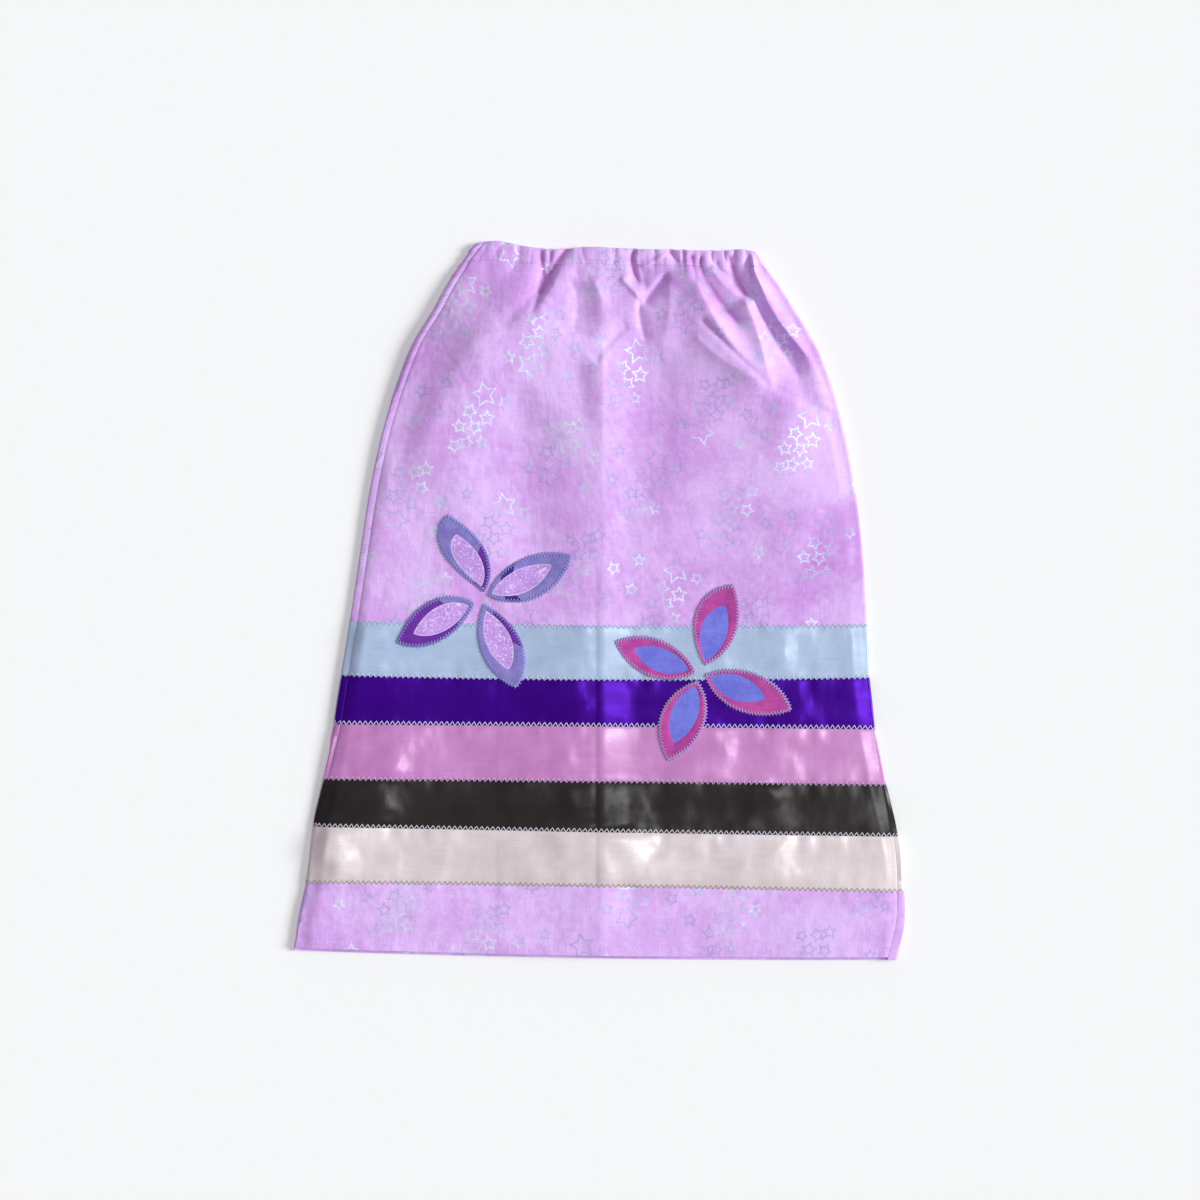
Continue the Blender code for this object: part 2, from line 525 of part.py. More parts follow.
def make_ribbons(satins):
    """Five ribbons round each panel, edge to edge."""
    back = columns_of(BACK_RIGHT_COLUMNS, BACK_CELLS, BACK_LEFT_COLUMNS)
    for ribbon in RIBBONS:
        drops = [DROP[ribbon.top] + SEAM_GAP / 2, DROP[ribbon.foot] - SEAM_GAP / 2]
        for side, columns, ways in (
            ("front", front_columns(2), front_ways),
            ("back", back, back_ways),
        ):
            wall(
                f"{side}_ribbon_{ribbon.colour}", satins[ribbon.colour],
                with_columns(drops, columns), lambda drop: 0.0, lambda drop: RIBBON_WALL, ways,
            )


def leaf_side(t, peak):
    """Half width of a leaf at the share t of its length, 1 where it is widest."""
    start, end = LEAF_FULLNESS * peak, LEAF_FULLNESS * (1 - peak)
    return (t / peak) ** start * ((1 - t) / (1 - peak)) ** end


def leaf_outline(petal, low, high, width):
    """Plan points round a leaf, base to tip on the left and back on the right, and the points of
    its midrib. low and high are shares of the petal's length, width of its width."""
    base = np.array([petal.base_x, petal.base_y])
    axis = np.array([petal.tip_x, petal.tip_y]) - base
    square = np.array([-axis[1], axis[0]]) / np.linalg.norm(axis)
    t = (1 - np.cos(np.linspace(0, math.pi, PETAL_STATIONS + 1))) / 2
    rib = base + np.outer(low + (high - low) * t, axis)
    left = rib + np.outer(width * petal.left * leaf_side(t, petal.left_peak), square)
    right = rib - np.outer(width * petal.right * leaf_side(t, petal.right_peak), square)
    return np.concatenate([left, right[-2:0:-1]]), rib


def on_front(plan, depth):
    """Plan points laid on the front, at a depth under its surface."""
    x, y = plan[:, 0], plan[:, 1]
    drop = drop_of(x, y)
    side = at_level("side", drop)
    way = x - at_level("left_x", drop) - side + math.pi * side / 2
    return under_surface(way, drop, np.full(len(x), depth))


def make_petal(name, petal, cloth, insert_cloth):
    """A petal with its window, and the insert that fills the window."""
    top, foot = -(SEAM_GAP + PETAL_WALL), -SEAM_GAP
    rim, _ = leaf_outline(petal, 0.0, 1.0, 1.0)
    window, _ = leaf_outline(petal, petal.insert_from, petal.insert_to, petal.insert_width)
    count = len(rim)
    vertices = [point for plan in (rim, window) for depth in (top, foot)
                for point in on_front(plan, depth)]
    rim_top, rim_foot, window_top, window_foot = (range(k * count, (k + 1) * count) for k in range(4))
    faces = []
    for one, other in (
        (rim_top, window_top), (rim_foot, window_foot), (rim_top, rim_foot), (window_top, window_foot),
    ):
        for i in range(count):
            after = (i + 1) % count
            faces.append((one[i], one[after], other[after], other[i]))
    new_object(name, cloth, vertices, faces)

    length = math.hypot(petal.tip_x - petal.base_x, petal.tip_y - petal.base_y)
    point_gap, side_gap = 4 * SEAM_GAP / length, 1 - 2 * SEAM_GAP / (petal.insert_width * petal.left)
    low, high = petal.insert_from + point_gap, petal.insert_to - point_gap
    edge, rib = leaf_outline(petal, low, high, petal.insert_width * side_gap)
    vertices = [*on_front(edge, top), *on_front(edge, foot), *on_front(rib[1:-1], top),
                *on_front(rib[1:-1], foot)]
    last = PETAL_STATIONS
    faces = []
    for layer in (0, 1):
        left = [layer * count + i for i in range(last + 1)]
        right = [left[0], *(layer * count + count - i for i in range(1, last)), left[-1]]
        first_rib = 2 * count + layer * (last - 1)
        middle = [left[0], *range(first_rib, first_rib + last - 1), left[-1]]
        for i in range(last):
            for a, b in ((left, middle), (middle, right)):
                corners = dict.fromkeys((a[i], a[i + 1], b[i + 1], b[i]))
                faces.append(tuple(corners))
    for i in range(count):
        after = (i + 1) % count
        faces.append((i, after, count + after, count + i))
    new_object(name.replace("petal", "insert"), insert_cloth, vertices, faces)


def make_flowers(lilac, swirl, berry, periwinkle):
    """Two flowers of four petals, stitched over the silver ribbon's top edge."""
    for flower, petals, cloth, insert_cloth in (
        ("lilac", LILAC_PETALS, lilac, swirl),
        ("berry", BERRY_PETALS, berry, periwinkle),
    ):
        for petal in petals:
            make_petal(f"{flower}_petal_{petal.name}", petal, cloth, insert_cloth)


def main():
    """Clears the scene and makes the skirt."""
    for old in list(bpy.data.objects):
        bpy.data.objects.remove(old)
    cotton = finish("star cotton", COTTON, COTTON_ROUGHNESS)
    satins = {c: finish(f"{c} satin", SATIN[c], SATIN_ROUGHNESS) for c in SATIN}
    make_casings(cotton)
    make_panels(cotton)
    make_ribbons(satins)
    make_flowers(
        finish("lilac cotton", LILAC, COTTON_ROUGHNESS),
        finish("swirl cotton", SWIRL, COTTON_ROUGHNESS),
        finish("berry cotton", BERRY, COTTON_ROUGHNESS),
        finish("periwinkle cotton", PERIWINKLE, COTTON_ROUGHNESS),
    )


main()
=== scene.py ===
"""Dresses the laid ribbon skirt: cloth shells, satin, star print, stitching, light and camera.

Lengths are metres. +X is to the right of the laid skirt, +Y from hem to waist, +Z up.
"""

import logging
import math
from dataclasses import dataclass, field, fields
from enum import Enum
from typing import Callable, Dict, List, Sequence, Tuple, Union

import bpy
import numpy as np
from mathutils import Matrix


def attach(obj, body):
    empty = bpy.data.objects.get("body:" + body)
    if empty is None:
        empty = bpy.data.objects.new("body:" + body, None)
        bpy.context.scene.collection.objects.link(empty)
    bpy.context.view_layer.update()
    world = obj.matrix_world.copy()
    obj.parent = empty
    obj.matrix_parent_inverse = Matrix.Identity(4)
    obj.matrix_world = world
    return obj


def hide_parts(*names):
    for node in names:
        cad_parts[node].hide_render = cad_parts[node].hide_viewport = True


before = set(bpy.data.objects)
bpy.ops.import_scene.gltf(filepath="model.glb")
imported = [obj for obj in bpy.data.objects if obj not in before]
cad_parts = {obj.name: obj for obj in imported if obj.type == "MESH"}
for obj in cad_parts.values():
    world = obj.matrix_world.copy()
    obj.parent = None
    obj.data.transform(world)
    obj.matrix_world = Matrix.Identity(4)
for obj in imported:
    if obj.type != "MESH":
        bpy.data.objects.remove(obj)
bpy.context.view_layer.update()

LOG = logging.getLogger("skirt")
Array = np.ndarray
Colour = Tuple[float, float, float]
Ways = Callable[[Array], Tuple[Array, Array]]
Piece = bpy.types.Object
Material = bpy.types.Material
Node = bpy.types.Node
Socket = bpy.types.NodeSocket
Given = Union[bpy.types.NodeSocket, float, Tuple[float, ...], None]

TWO_PI = 2 * math.pi


# ---- small maths
def smooth_step(t: Array) -> Array:
    """0 below 0 and 1 above 1, with a soft start and end."""
    t = np.clip(t, 0.0, 1.0)
    return t * t * (3 - 2 * t)


def ramp(value: Array, low: float, high: float) -> Array:
    """0 up to low and 1 from high, softly between."""
    return smooth_step((value - low) / (high - low))


def bump(distance: Array, width: float) -> Array:
    """A soft bump of height 1 round distance 0."""
    return np.exp(-((distance / width) ** 2))


def screen(red: int, green: int, blue: int) -> Colour:
    """A linear colour from the 0 to 255 values that it shows as on screen."""
    shares = (red / 255, green / 255, blue / 255)
    return tuple(((c + 0.055) / 1.055) ** 2.4 if c > 0.04 else c / 12.92 for c in shares)


NOISE_CELLS = 256  # after which a noise repeats
NOISE_START = (97.3, 61.7)  # the cell at the origin, so that no part of the skirt is at its rim


@dataclass
class SoftNoise:
    """Smooth bumps of random height, between -1 and 1, the same at every run."""

    seed: int  # picks the pattern
    cell_x: float  # spacing of the bumps along the first axis
    cell_y: float  # spacing of the bumps along the second axis
    turn: float = 0.0  # how far the axes are turned
    table: Array = field(init=False)

    def __post_init__(self) -> None:
        """Draws the table of heights."""
        self.table = np.random.default_rng(self.seed).uniform(-1, 1, (NOISE_CELLS, NOISE_CELLS))

    def at(self, x: Array, y: Array) -> Array:
        """The height at each point.

        Args:
            x: first coordinates.
            y: second coordinates, of the same shape.

        Returns:
            Heights of that shape.
        """
        cos, sin = math.cos(self.turn), math.sin(self.turn)
        along, across = x * cos + y * sin, y * cos - x * sin
        u, v = along / self.cell_x + NOISE_START[0], across / self.cell_y + NOISE_START[1]
        i, j = np.floor(u).astype(int), np.floor(v).astype(int)
        s, t = u - i, v - j
        s, t = s**3 * (s * (6 * s - 15) + 10), t**3 * (t * (6 * t - 15) + 10)
        low = self.cell(i, j) * (1 - s) + self.cell(i + 1, j) * s
        high = self.cell(i, j + 1) * (1 - s) + self.cell(i + 1, j + 1) * s
        return low * (1 - t) + high * t

    def cell(self, i: Array, j: Array) -> Array:
        """The heights at cell corners, of a table that repeats."""
        return self.table[i % NOISE_CELLS, j % NOISE_CELLS]


# ---- the laid form
@dataclass(frozen=True)
class Level:
    """One line across the skirt."""

    name: str
    drop: float  # its distance below the waist edge at mid width
    left_x: float  # where its left end lies
    left_rise: float  # how much higher than its middle the left end lies
    right_x: float  # where its right end lies
    right_rise: float  # how much higher than its middle the right end lies
    side: float  # radius of the side folds
    loft: float  # air under the front at mid width
    left_seam: float  # how far round the left fold the side seam lies in on the front
    right_seam: float  # the same at the right, negative on the underside


LEVELS = tuple(Level(*row) for row in (
    ("waist edge", 0.0, -0.0885, 0.003, 0.1125, -0.0024, 0.0019, 0.001, 0.0064, -0.002),
    ("casing seam", 0.0115, -0.0983, 0.0028, 0.1192, -0.0015, 0.0021, 0.002, 0.0065, -0.002),
    ("gathers", 0.0288, -0.1098, 0.0029, 0.1318, -0.0015, 0.0026, 0.0048, 0.007, -0.002),
    ("upper puff", 0.0475, -0.1201, 0.0028, 0.1434, -0.0015, 0.0028, 0.0064, 0.0072, -0.002),
    ("lower puff", 0.0691, -0.1333, 0.0028, 0.1559, -0.0015, 0.0028, 0.0064, 0.0071, -0.002),
    ("hip", 0.0979, -0.1451, 0.0028, 0.1674, -0.0015, 0.0024, 0.005, 0.0068, -0.002),
    ("below hip", 0.1339, -0.1562, 0.0028, 0.177, -0.0015, 0.0022, 0.0034, 0.0066, -0.002),
    ("upper skirt", 0.1771, -0.1655, 0.0028, 0.1848, -0.0008, 0.0019, 0.0022, 0.0064, -0.0018),
    ("mid skirt", 0.2275, -0.1732, 0.0028, 0.19, 0.0, 0.0018, 0.0014, 0.0062, -0.0012),
    ("silver top", 0.2715, -0.1797, 0.0033, 0.1927, 0.0008, 0.0018, 0.0011, 0.0062, -0.0004),
    ("purple top", 0.3103, -0.186, 0.0032, 0.1947, 0.0014, 0.0018, 0.0009, 0.0061, 0.0006),
    ("pink top", 0.3442, -0.1914, 0.0015, 0.1989, -0.0021, 0.0018, 0.0008, 0.0056, 0.0015),
    ("black top", 0.3834, -0.1987, 0.0018, 0.2062, -0.0025, 0.0018, 0.0007, 0.0039, 0.0027),
    ("cream top", 0.4201, -0.2065, 0.0039, 0.2149, -0.0033, 0.0018, 0.0006, 0.0029, 0.0041),
    ("cream foot", 0.4594, -0.2119, 0.0025, 0.2194, -0.0043, 0.0018, 0.0006, 0.0017, 0.006),
    ("hem rise", 0.4846, -0.2169, 0.0043, 0.2197, -0.0029, 0.0018, 0.0006, 0.0008, 0.0076),
    ("hem", 0.5091, -0.22, 0.0056, 0.215, -0.0012, 0.0018, 0.0006, 0.0002, 0.0088),
))
DROP = {level.name: level.drop for level in LEVELS}
RIBBON_EDGES = ("silver top", "purple top", "pink top", "black top", "cream top", "cream foot")

LONG_SIDE = 2.8  # how much wider a pressed or leaning fold is to its left
END_FADE = 0.2  # the share of a leaning fold over which each end dies out
TENT_TOP = 0.012  # how round a pressed fold is on top
TENT_FOOT = 6.0  # how sharply it ends
ROUND_TOP = 0.004  # how round a soft or leaning fold is on top
CRISP = 0.64  # the power of a narrow fold's section, 1 in a wide one
NARROW, WIDE = 0.004, 0.012  # half widths of such folds
CURVE_POINTS = 25  # along the curve of a fold
PLEAT_DEPTH, PLEAT_WIDTH = 0.0018, 0.003  # a trough deeper, and narrower, than these is a pleat


class Profile(Enum):
    """The section of a fold. But for a soft one, it is steep to its right and long to its left."""

    SOFT = "soft"
    PRESSED = "pressed"
    LEANING = "leaning"

    @property
    def reach(self) -> float:
        """How many half widths away it still counts."""
        return {Profile.SOFT: 4.5, Profile.PRESSED: 5.6, Profile.LEANING: 12.6}[self]

    def section(self, aside: Array, beyond: Array, width: Array) -> Array:
        """The section's height, 1 on the line.

        Args:
            aside: distance to the left of the line, below 0 to its right.
            beyond: distance past its ends.
            width: half width.

        Returns:
            The share of the height.
        """
        side = width if self is Profile.SOFT else np.where(aside > 0, LONG_SIDE * width, width)
        share = (aside / side) ** 2 + (beyond / width) ** 2
        if self is Profile.PRESSED:
            return np.log1p(np.exp(TENT_FOOT * (1 - np.sqrt(share + TENT_TOP)))) / TENT_FOOT
        power = CRISP + (1 - CRISP) * ramp(width, NARROW, WIDE)
        return np.exp(-((share + ROUND_TOP) ** power))


@dataclass(frozen=True)
class Fold:
    """A ridge or trough along a curve through its start, middle and end."""

    name: str
    x0: float  # start, middle and end of the curve
    y0: float
    x1: float
    y1: float
    x2: float
    y2: float
    width0: float  # half width at the start and the end
    width2: float
    height0: float  # height at the start and the end, below 0 in a trough
    height2: float

    def height_at(self, x: Array, y: Array, profile: Profile) -> Array:
        """What the fold adds to the height of the front.

        Args:
            x: where to read it, flat.
            y: where to read it, flat.
            profile: its section.

        Returns:
            The added height at each point.
        """
        t = np.linspace(0.0, 1.0, CURVE_POINTS)
        line_x, line_y = self.curve(self.x0, self.x1, self.x2, t), self.curve(self.y0, self.y1, self.y2, t)
        wide = max(self.width0, self.width2)
        reach = wide * profile.reach * (1 - 0.4 * ramp(wide, 0.006, 0.012))
        near = (x > line_x.min() - reach) & (x < line_x.max() + reach)
        near &= (y > line_y.min() - reach) & (y < line_y.max() + reach)
        added = np.zeros(x.shape)
        if not near.any():
            return added
        x, y = x[near], y[near]
        nearest = ((x[:, None] - line_x) ** 2 + (y[:, None] - line_y) ** 2).argmin(axis=1)
        run_x, run_y = np.gradient(line_x)[nearest], np.gradient(line_y)[nearest]
        off_x, off_y = x - line_x[nearest], y - line_y[nearest]
        step = np.hypot(run_x, run_y)
        past = (off_x * run_x + off_y * run_y) / step**2
        aside = (off_y * run_x - off_x * run_y) / step
        t = np.clip(t[nearest] + past * t[1], 0.0, 1.0)
        beyond = np.where(t * (1 - t) == 0, np.abs(past) * step, 0.0)
        width = self.width0 + (self.width2 - self.width0) * t
        height = self.height0 + (self.height2 - self.height0) * t
        if profile is Profile.LEANING:
            height = height * smooth_step(t / END_FADE) * smooth_step((1 - t) / END_FADE)
        added[near] = height * profile.section(aside, beyond, width)
        return added

    @staticmethod
    def curve(start: float, middle: float, end: float, t: Array) -> Array:
        """One coordinate of the curve through three points, at shares of its way."""
        bend = 2 * middle - (start + end) / 2
        return (1 - t) ** 2 * start + 2 * t * (1 - t) * bend + t**2 * end


SOFT_FOLDS = tuple(Fold(*row) for row in (
    ("corner nick", -0.0673, 0.2581, -0.0724, 0.2538, -0.0752, 0.2495, 0.003, 0.003, -0.0012, -0.0008),
    ("left dimple", -0.058, 0.256, -0.0594, 0.2473, -0.0623, 0.2387, 0.0042, 0.005, -0.001, -0.0008),
    ("pleat left", -0.0421, 0.2502, -0.0414, 0.2401, -0.0385, 0.23, 0.002, 0.0022, -0.003, -0.003),
    ("pleat middle", -0.0356, 0.2502, -0.0364, 0.2416, -0.0378, 0.2329, 0.0016, 0.0018, -0.0026, -0.0026),
    ("pleat right", -0.0234, 0.2531, -0.0328, 0.2401, -0.0428, 0.2214, 0.0024, 0.0028, -0.0032, -0.003),
    ("pleat second", -0.0378, 0.2286, -0.0436, 0.2185, -0.0486, 0.207, 0.0026, 0.0034, -0.0026, -0.0012),
    ("pleat hollow", -0.0428, 0.23, -0.0493, 0.2185, -0.068, 0.1998, 0.005, 0.008, -0.0026, -0.0018),
    ("left hollow", -0.1156, 0.1832, -0.13, 0.1544, -0.1429, 0.122, 0.014, 0.014, -0.0008, -0.0008),
    ("soft crest", -0.0032, 0.2272, 0.0018, 0.2113, -0.0004, 0.194, 0.006, 0.008, 0.0024, 0.001),
    ("centre crest", 0.0493, 0.2272, 0.05, 0.2084, 0.0457, 0.1832, 0.0044, 0.006, 0.0012, 0.0006),
    ("pocket", 0.0284, 0.2416, 0.0313, 0.2329, 0.0328, 0.2228, 0.0036, 0.0034, -0.0018, -0.0008),
    ("middle pleat", 0.0241, 0.2502, 0.0234, 0.2416, 0.027, 0.23, 0.0026, 0.0032, -0.0032, -0.0028),
    ("pocket rim", 0.027, 0.2502, 0.0299, 0.2408, 0.0457, 0.248, 0.0011, 0.0011, 0.0008, 0.0008),
    ("short pleat", 0.0508, 0.2509, 0.0522, 0.248, 0.0551, 0.2444, 0.0024, 0.002, -0.003, -0.0016),
    ("band groove", 0.0745, 0.1998, 0.0947, 0.1796, 0.1192, 0.1566, 0.0026, 0.003, -0.0019, -0.0013),
    ("band lip", 0.0702, 0.1883, 0.0947, 0.1681, 0.1436, 0.1408, 0.0032, 0.005, 0.001, 0.0007),
    ("inner groove", 0.0724, 0.2459, 0.0767, 0.2286, 0.0976, 0.2012, 0.002, 0.0044, -0.0034, -0.0026),
    ("finger", 0.0817, 0.2372, 0.0896, 0.2264, 0.1062, 0.2142, 0.003, 0.0034, 0.0012, 0.001),
    ("deep valley", 0.099, 0.2286, 0.1091, 0.22, 0.1177, 0.2099, 0.0034, 0.0038, -0.0032, -0.002),
    ("valley floor", 0.1364, 0.1782, 0.1408, 0.1638, 0.148, 0.1451, 0.007, 0.008, -0.0024, -0.0012),
    ("flap foot", 0.1537, 0.1681, 0.1631, 0.1508, 0.1739, 0.1307, 0.004, 0.005, 0.002, 0.0014),
    ("end crease", 0.1271, 0.1516, 0.148, 0.1415, 0.171, 0.1321, 0.004, 0.0036, -0.0012, -0.0018),
    ("right pleat 1", 0.0659, 0.2466, 0.0673, 0.2394, 0.0688, 0.2308, 0.0028, 0.0022, -0.0034, -0.0022),
    ("right pleat 2", 0.0839, 0.243, 0.0875, 0.2365, 0.0976, 0.2315, 0.0012, 0.0013, -0.0008, -0.001),
    ("right pleat 3", 0.094, 0.2459, 0.0976, 0.2336, 0.1048, 0.2214, 0.002, 0.0032, -0.0034, -0.0034),
    ("right pleat 4", 0.1076, 0.2473, 0.1069, 0.2401, 0.1084, 0.2322, 0.0014, 0.0014, -0.0024, -0.0018),
    ("right pleat 5", 0.1112, 0.2473, 0.1105, 0.2387, 0.112, 0.2272, 0.0015, 0.0015, 0.002, 0.002),
    ("crease slope", -0.0162, 0.1638, -0.0133, 0.1436, -0.009, 0.1148, 0.009, 0.01, -0.0014, -0.0005),
    ("right hollow", 0.0392, 0.1652, 0.0342, 0.122, 0.0356, 0.0716, 0.02, 0.024, -0.0022, -0.0012),
    ("hip crest", 0.135, 0.135, 0.1321, 0.1004, 0.1336, 0.0428, 0.022, 0.026, 0.0036, 0.0018),
    ("left crest", -0.094, 0.086, -0.1069, 0.0428, -0.1228, -0.0148, 0.016, 0.02, 0.0008, 0.0005),
    ("mid hollow", -0.058, 0.1292, -0.0544, 0.086, -0.0472, 0.0284, 0.018, 0.02, -0.0015, -0.001),
    ("edge roll", 0.1768, 0.1292, 0.183, 0.068, 0.1868, 0.02, 0.009, 0.008, -0.0006, -0.0002),
    ("bright facet", 0.0709, 0.2459, 0.0724, 0.2372, 0.076, 0.2243, 0.002, 0.002, 0.0012, 0.001),
))
PRESSED_FOLDS = tuple(Fold(*row) for row in (
    ("crease line", -0.0024, -0.224, -0.0024, -0.1, -0.0022, 0.02, 0.0018, 0.0018, -0.0003, -0.0003),
    ("centre crease", 0.0018, -0.2596, 0.0018, -0.0292, 0.0004, 0.1825, 0.022, 0.0185, 0.0028, 0.0028),
    ("crease wedge", 0.0018, 0.1148, 0.0018, 0.1508, 0.0018, 0.1796, 0.004, 0.005, 0.0003, 0.0011),
    ("crease turn", -0.0018, 0.1739, 0.0068, 0.1847, 0.0184, 0.1955, 0.0036, 0.003, -0.0013, -0.001),
))
LEANING_FOLDS = tuple(Fold(*row) for row in (
    ("pleat rise", -0.0248, 0.243, -0.0342, 0.2264, -0.0436, 0.2128, 0.004, 0.005, 0.0016, 0.0018),
    ("swept ridge", -0.0349, 0.2185, -0.0637, 0.1969, -0.1098, 0.1753, 0.0065, 0.009, 0.0018, 0.001),
    ("left ridge", -0.0256, 0.23, -0.0997, 0.1609, -0.1336, 0.0572, 0.018, 0.015, 0.0042, 0.0028),
    ("band", 0.1307, 0.1436, 0.0832, 0.1998, 0.0616, 0.2588, 0.009, 0.0036, 0.0048, 0.0032),
    ("crest rise", 0.1235, 0.1408, 0.0832, 0.1998, 0.063, 0.2459, 0.008, 0.008, 0.0018, 0.0022),
    ("soft trough", -0.0248, 0.2344, -0.0162, 0.2113, -0.0248, 0.1868, 0.0026, 0.0046, -0.0016, -0.0011),
    ("lobe", 0.1235, 0.1508, 0.1134, 0.1912, 0.1019, 0.2185, 0.0034, 0.005, 0.0044, 0.005),
    ("flap", 0.112, 0.284, 0.117, 0.2214, 0.1624, 0.1638, 0.0022, 0.003, 0.0048, 0.0046),
    ("valley rise", 0.112, 0.2185, 0.1235, 0.194, 0.1465, 0.1566, 0.0024, 0.0034, -0.0036, -0.0032),
    ("pocket side", 0.05, 0.2358, 0.0392, 0.2236, 0.0292, 0.2113, 0.0016, 0.0018, -0.0034, -0.0032),
    ("pocket edge", 0.0299, 0.2171, 0.0284, 0.2027, 0.0342, 0.1825, 0.0018, 0.0024, -0.0028, -0.0016),
    ("arm left", 0.014, 0.2315, 0.0212, 0.225, 0.0292, 0.2156, 0.0015, 0.0015, 0.0016, 0.0015),
))
FINE_FOLDS = tuple(Fold(*row) for row in (
    ("pucker a", -0.081, 0.256, -0.084, 0.251, -0.087, 0.246, 0.0022, 0.0026, -0.0006, -0.0006),
    ("pucker b", -0.048, 0.2545, -0.049, 0.249, -0.05, 0.243, 0.0022, 0.0026, -0.0005, -0.0004),
    ("pucker c", -0.013, 0.253, -0.012, 0.248, -0.01, 0.243, 0.002, 0.0024, -0.0007, -0.0005),
    ("pucker d", 0.011, 0.2525, 0.011, 0.248, 0.01, 0.243, 0.002, 0.0024, -0.0006, -0.0005),
    ("pucker e", 0.04, 0.2515, 0.0405, 0.247, 0.04, 0.243, 0.002, 0.0024, -0.0008, -0.0006),
    ("left storage", -0.149, 0.1379, -0.126, 0.1379, -0.103, 0.1379, 0.003, 0.003, -0.0004, -0.0003),
    ("right storage", 0.0047, 0.0896, 0.02, 0.0896, 0.036, 0.0896, 0.0026, 0.0026, -0.0004, -0.0003),
    ("low fold a", 0.1818, 0.068, 0.162, 0.056, 0.1458, 0.0428, 0.006, 0.007, -0.0008, -0.0004),
    ("low fold b", 0.1818, 0.0198, 0.16, 0.009, 0.1386, -0.0018, 0.006, 0.007, -0.0008, -0.0004),
    ("low fold c", -0.16, 0.07, -0.145, 0.056, -0.135, 0.04, 0.007, 0.008, -0.0006, -0.0004),
    ("small pleat a", 0.0601, 0.2502, 0.0601, 0.2466, 0.0601, 0.243, 0.0015, 0.0018, -0.002, -0.0012),
    ("small pleat b", 0.0803, 0.2502, 0.0803, 0.2459, 0.081, 0.243, 0.0015, 0.0018, -0.0022, -0.0013),
    ("small pleat c", 0.0896, 0.2502, 0.0896, 0.2466, 0.0904, 0.2444, 0.0014, 0.0016, -0.002, -0.0013),
    ("small pleat d", 0.0968, 0.2502, 0.0968, 0.2473, 0.0976, 0.2444, 0.0013, 0.0016, -0.002, -0.0013),
))
FOLDS = {
    Profile.SOFT: (*SOFT_FOLDS, *FINE_FOLDS),
    Profile.PRESSED: PRESSED_FOLDS,
    Profile.LEANING: LEANING_FOLDS,
}


# A swell's section is exp(-t * t). Its slope is steepest in the middle of this stretch of t.
SLOPE_FROM, SLOPE_TO = 0.24, 1.5
STEEPEST = 0.858


@dataclass(frozen=True)
class Swell:
    """A soft wave across one ribbon, long to its left."""

    top: str  # the level of the ribbon's upper edge
    start: float  # where its slope down to the right starts
    end: float  # where that slope ends
    slope: float  # how steep it is at most

    def height_at(self, x: Array) -> Array:
        """What the wave adds to the height of its ribbon.

        Args:
            x: where to read it.

        Returns:
            The added heights.
        """
        width = (self.end - self.start) / (SLOPE_TO - SLOPE_FROM)
        off = x - (self.start + self.end) / 2 + (SLOPE_TO + SLOPE_FROM) / 2 * width
        side = np.where(off < 0, LONG_SIDE * width, width)
        return self.slope * width / STEEPEST * bump(off, side)


SWELLS = tuple(Swell(*row) for row in (
    ("silver top", -0.1804, -0.1735, 0.1),
    ("silver top", -0.1616, -0.1357, 0.07),
    ("silver top", -0.0126, -0.0022, 0.1),
    ("silver top", 0.0875, 0.104, 0.05),
    ("silver top", 0.1346, 0.1454, 0.09),
    ("purple top", -0.0162, -0.0025, 0.09),
    ("purple top", 0.1465, 0.1544, 0.03),
    ("pink top", -0.1429, -0.127, 0.11),
    ("pink top", -0.1242, -0.1084, 0.04),
    ("pink top", -0.0234, -0.0076, 0.08),
    ("pink top", 0.0889, 0.1019, 0.08),
    ("pink top", 0.1368, 0.1454, 0.05),
    ("black top", -0.1552, -0.1386, 0.13),
    ("black top", -0.0277, -0.0061, 0.08),
    ("black top", 0.026, 0.0396, 0.13),
    ("black top", 0.061, 0.0702, 0.04),
    ("black top", 0.0918, 0.1019, 0.05),
    ("black top", 0.125, 0.14, 0.1),
    ("cream top", -0.1876, -0.1552, 0.12),
    ("cream top", -0.148, -0.1408, 0.05),
    ("cream top", -0.112, -0.1048, 0.05),
    ("cream top", -0.0292, -0.0112, 0.04),
    ("cream top", 0.029, 0.0608, 0.09),
    ("cream top", 0.068, 0.0803, 0.07),
    ("cream top", 0.1004, 0.1112, 0.07),
    ("cream top", 0.1292, 0.148, 0.08),
))


@dataclass(frozen=True)
class WaistWave:
    """Where the waist edge rises or dips."""

    at: float  # where along the edge, as a share of it
    width: float  # how broad, as a share of it
    rise: float  # how far up


WAIST_WAVES = tuple(WaistWave(*row) for row in (
    (0.07, 0.07, 0.003),
    (0.27, 0.08, -0.002),
    (0.42, 0.07, 0.0008),
    (0.95, 0.04, 0.0016),
))


@dataclass(frozen=True)
class Gather:
    """A small pleat of the back casing."""

    x: float  # where it lies
    half_width: float  # of the pleat
    lift: float  # how far it lifts the cloth
    length: float  # how far down from the waist edge it reaches


BACK_GATHERS = tuple(Gather(*row) for row in (
    (-0.074, 0.004, 0.0009, 0.026),
    (-0.061, 0.0032, 0.0012, 0.034),
    (-0.047, 0.004, 0.0008, 0.022),
    (-0.03, 0.0036, 0.0013, 0.042),
    (-0.012, 0.0042, 0.0009, 0.028),
    (0.003, 0.0034, 0.0012, 0.038),
    (0.019, 0.0038, 0.0008, 0.024),
    (0.034, 0.0036, 0.0013, 0.044),
    (0.052, 0.004, 0.001, 0.03),
    (0.067, 0.0032, 0.0012, 0.036),
    (0.083, 0.0038, 0.0009, 0.026),
    (0.098, 0.0034, 0.0012, 0.032),
))


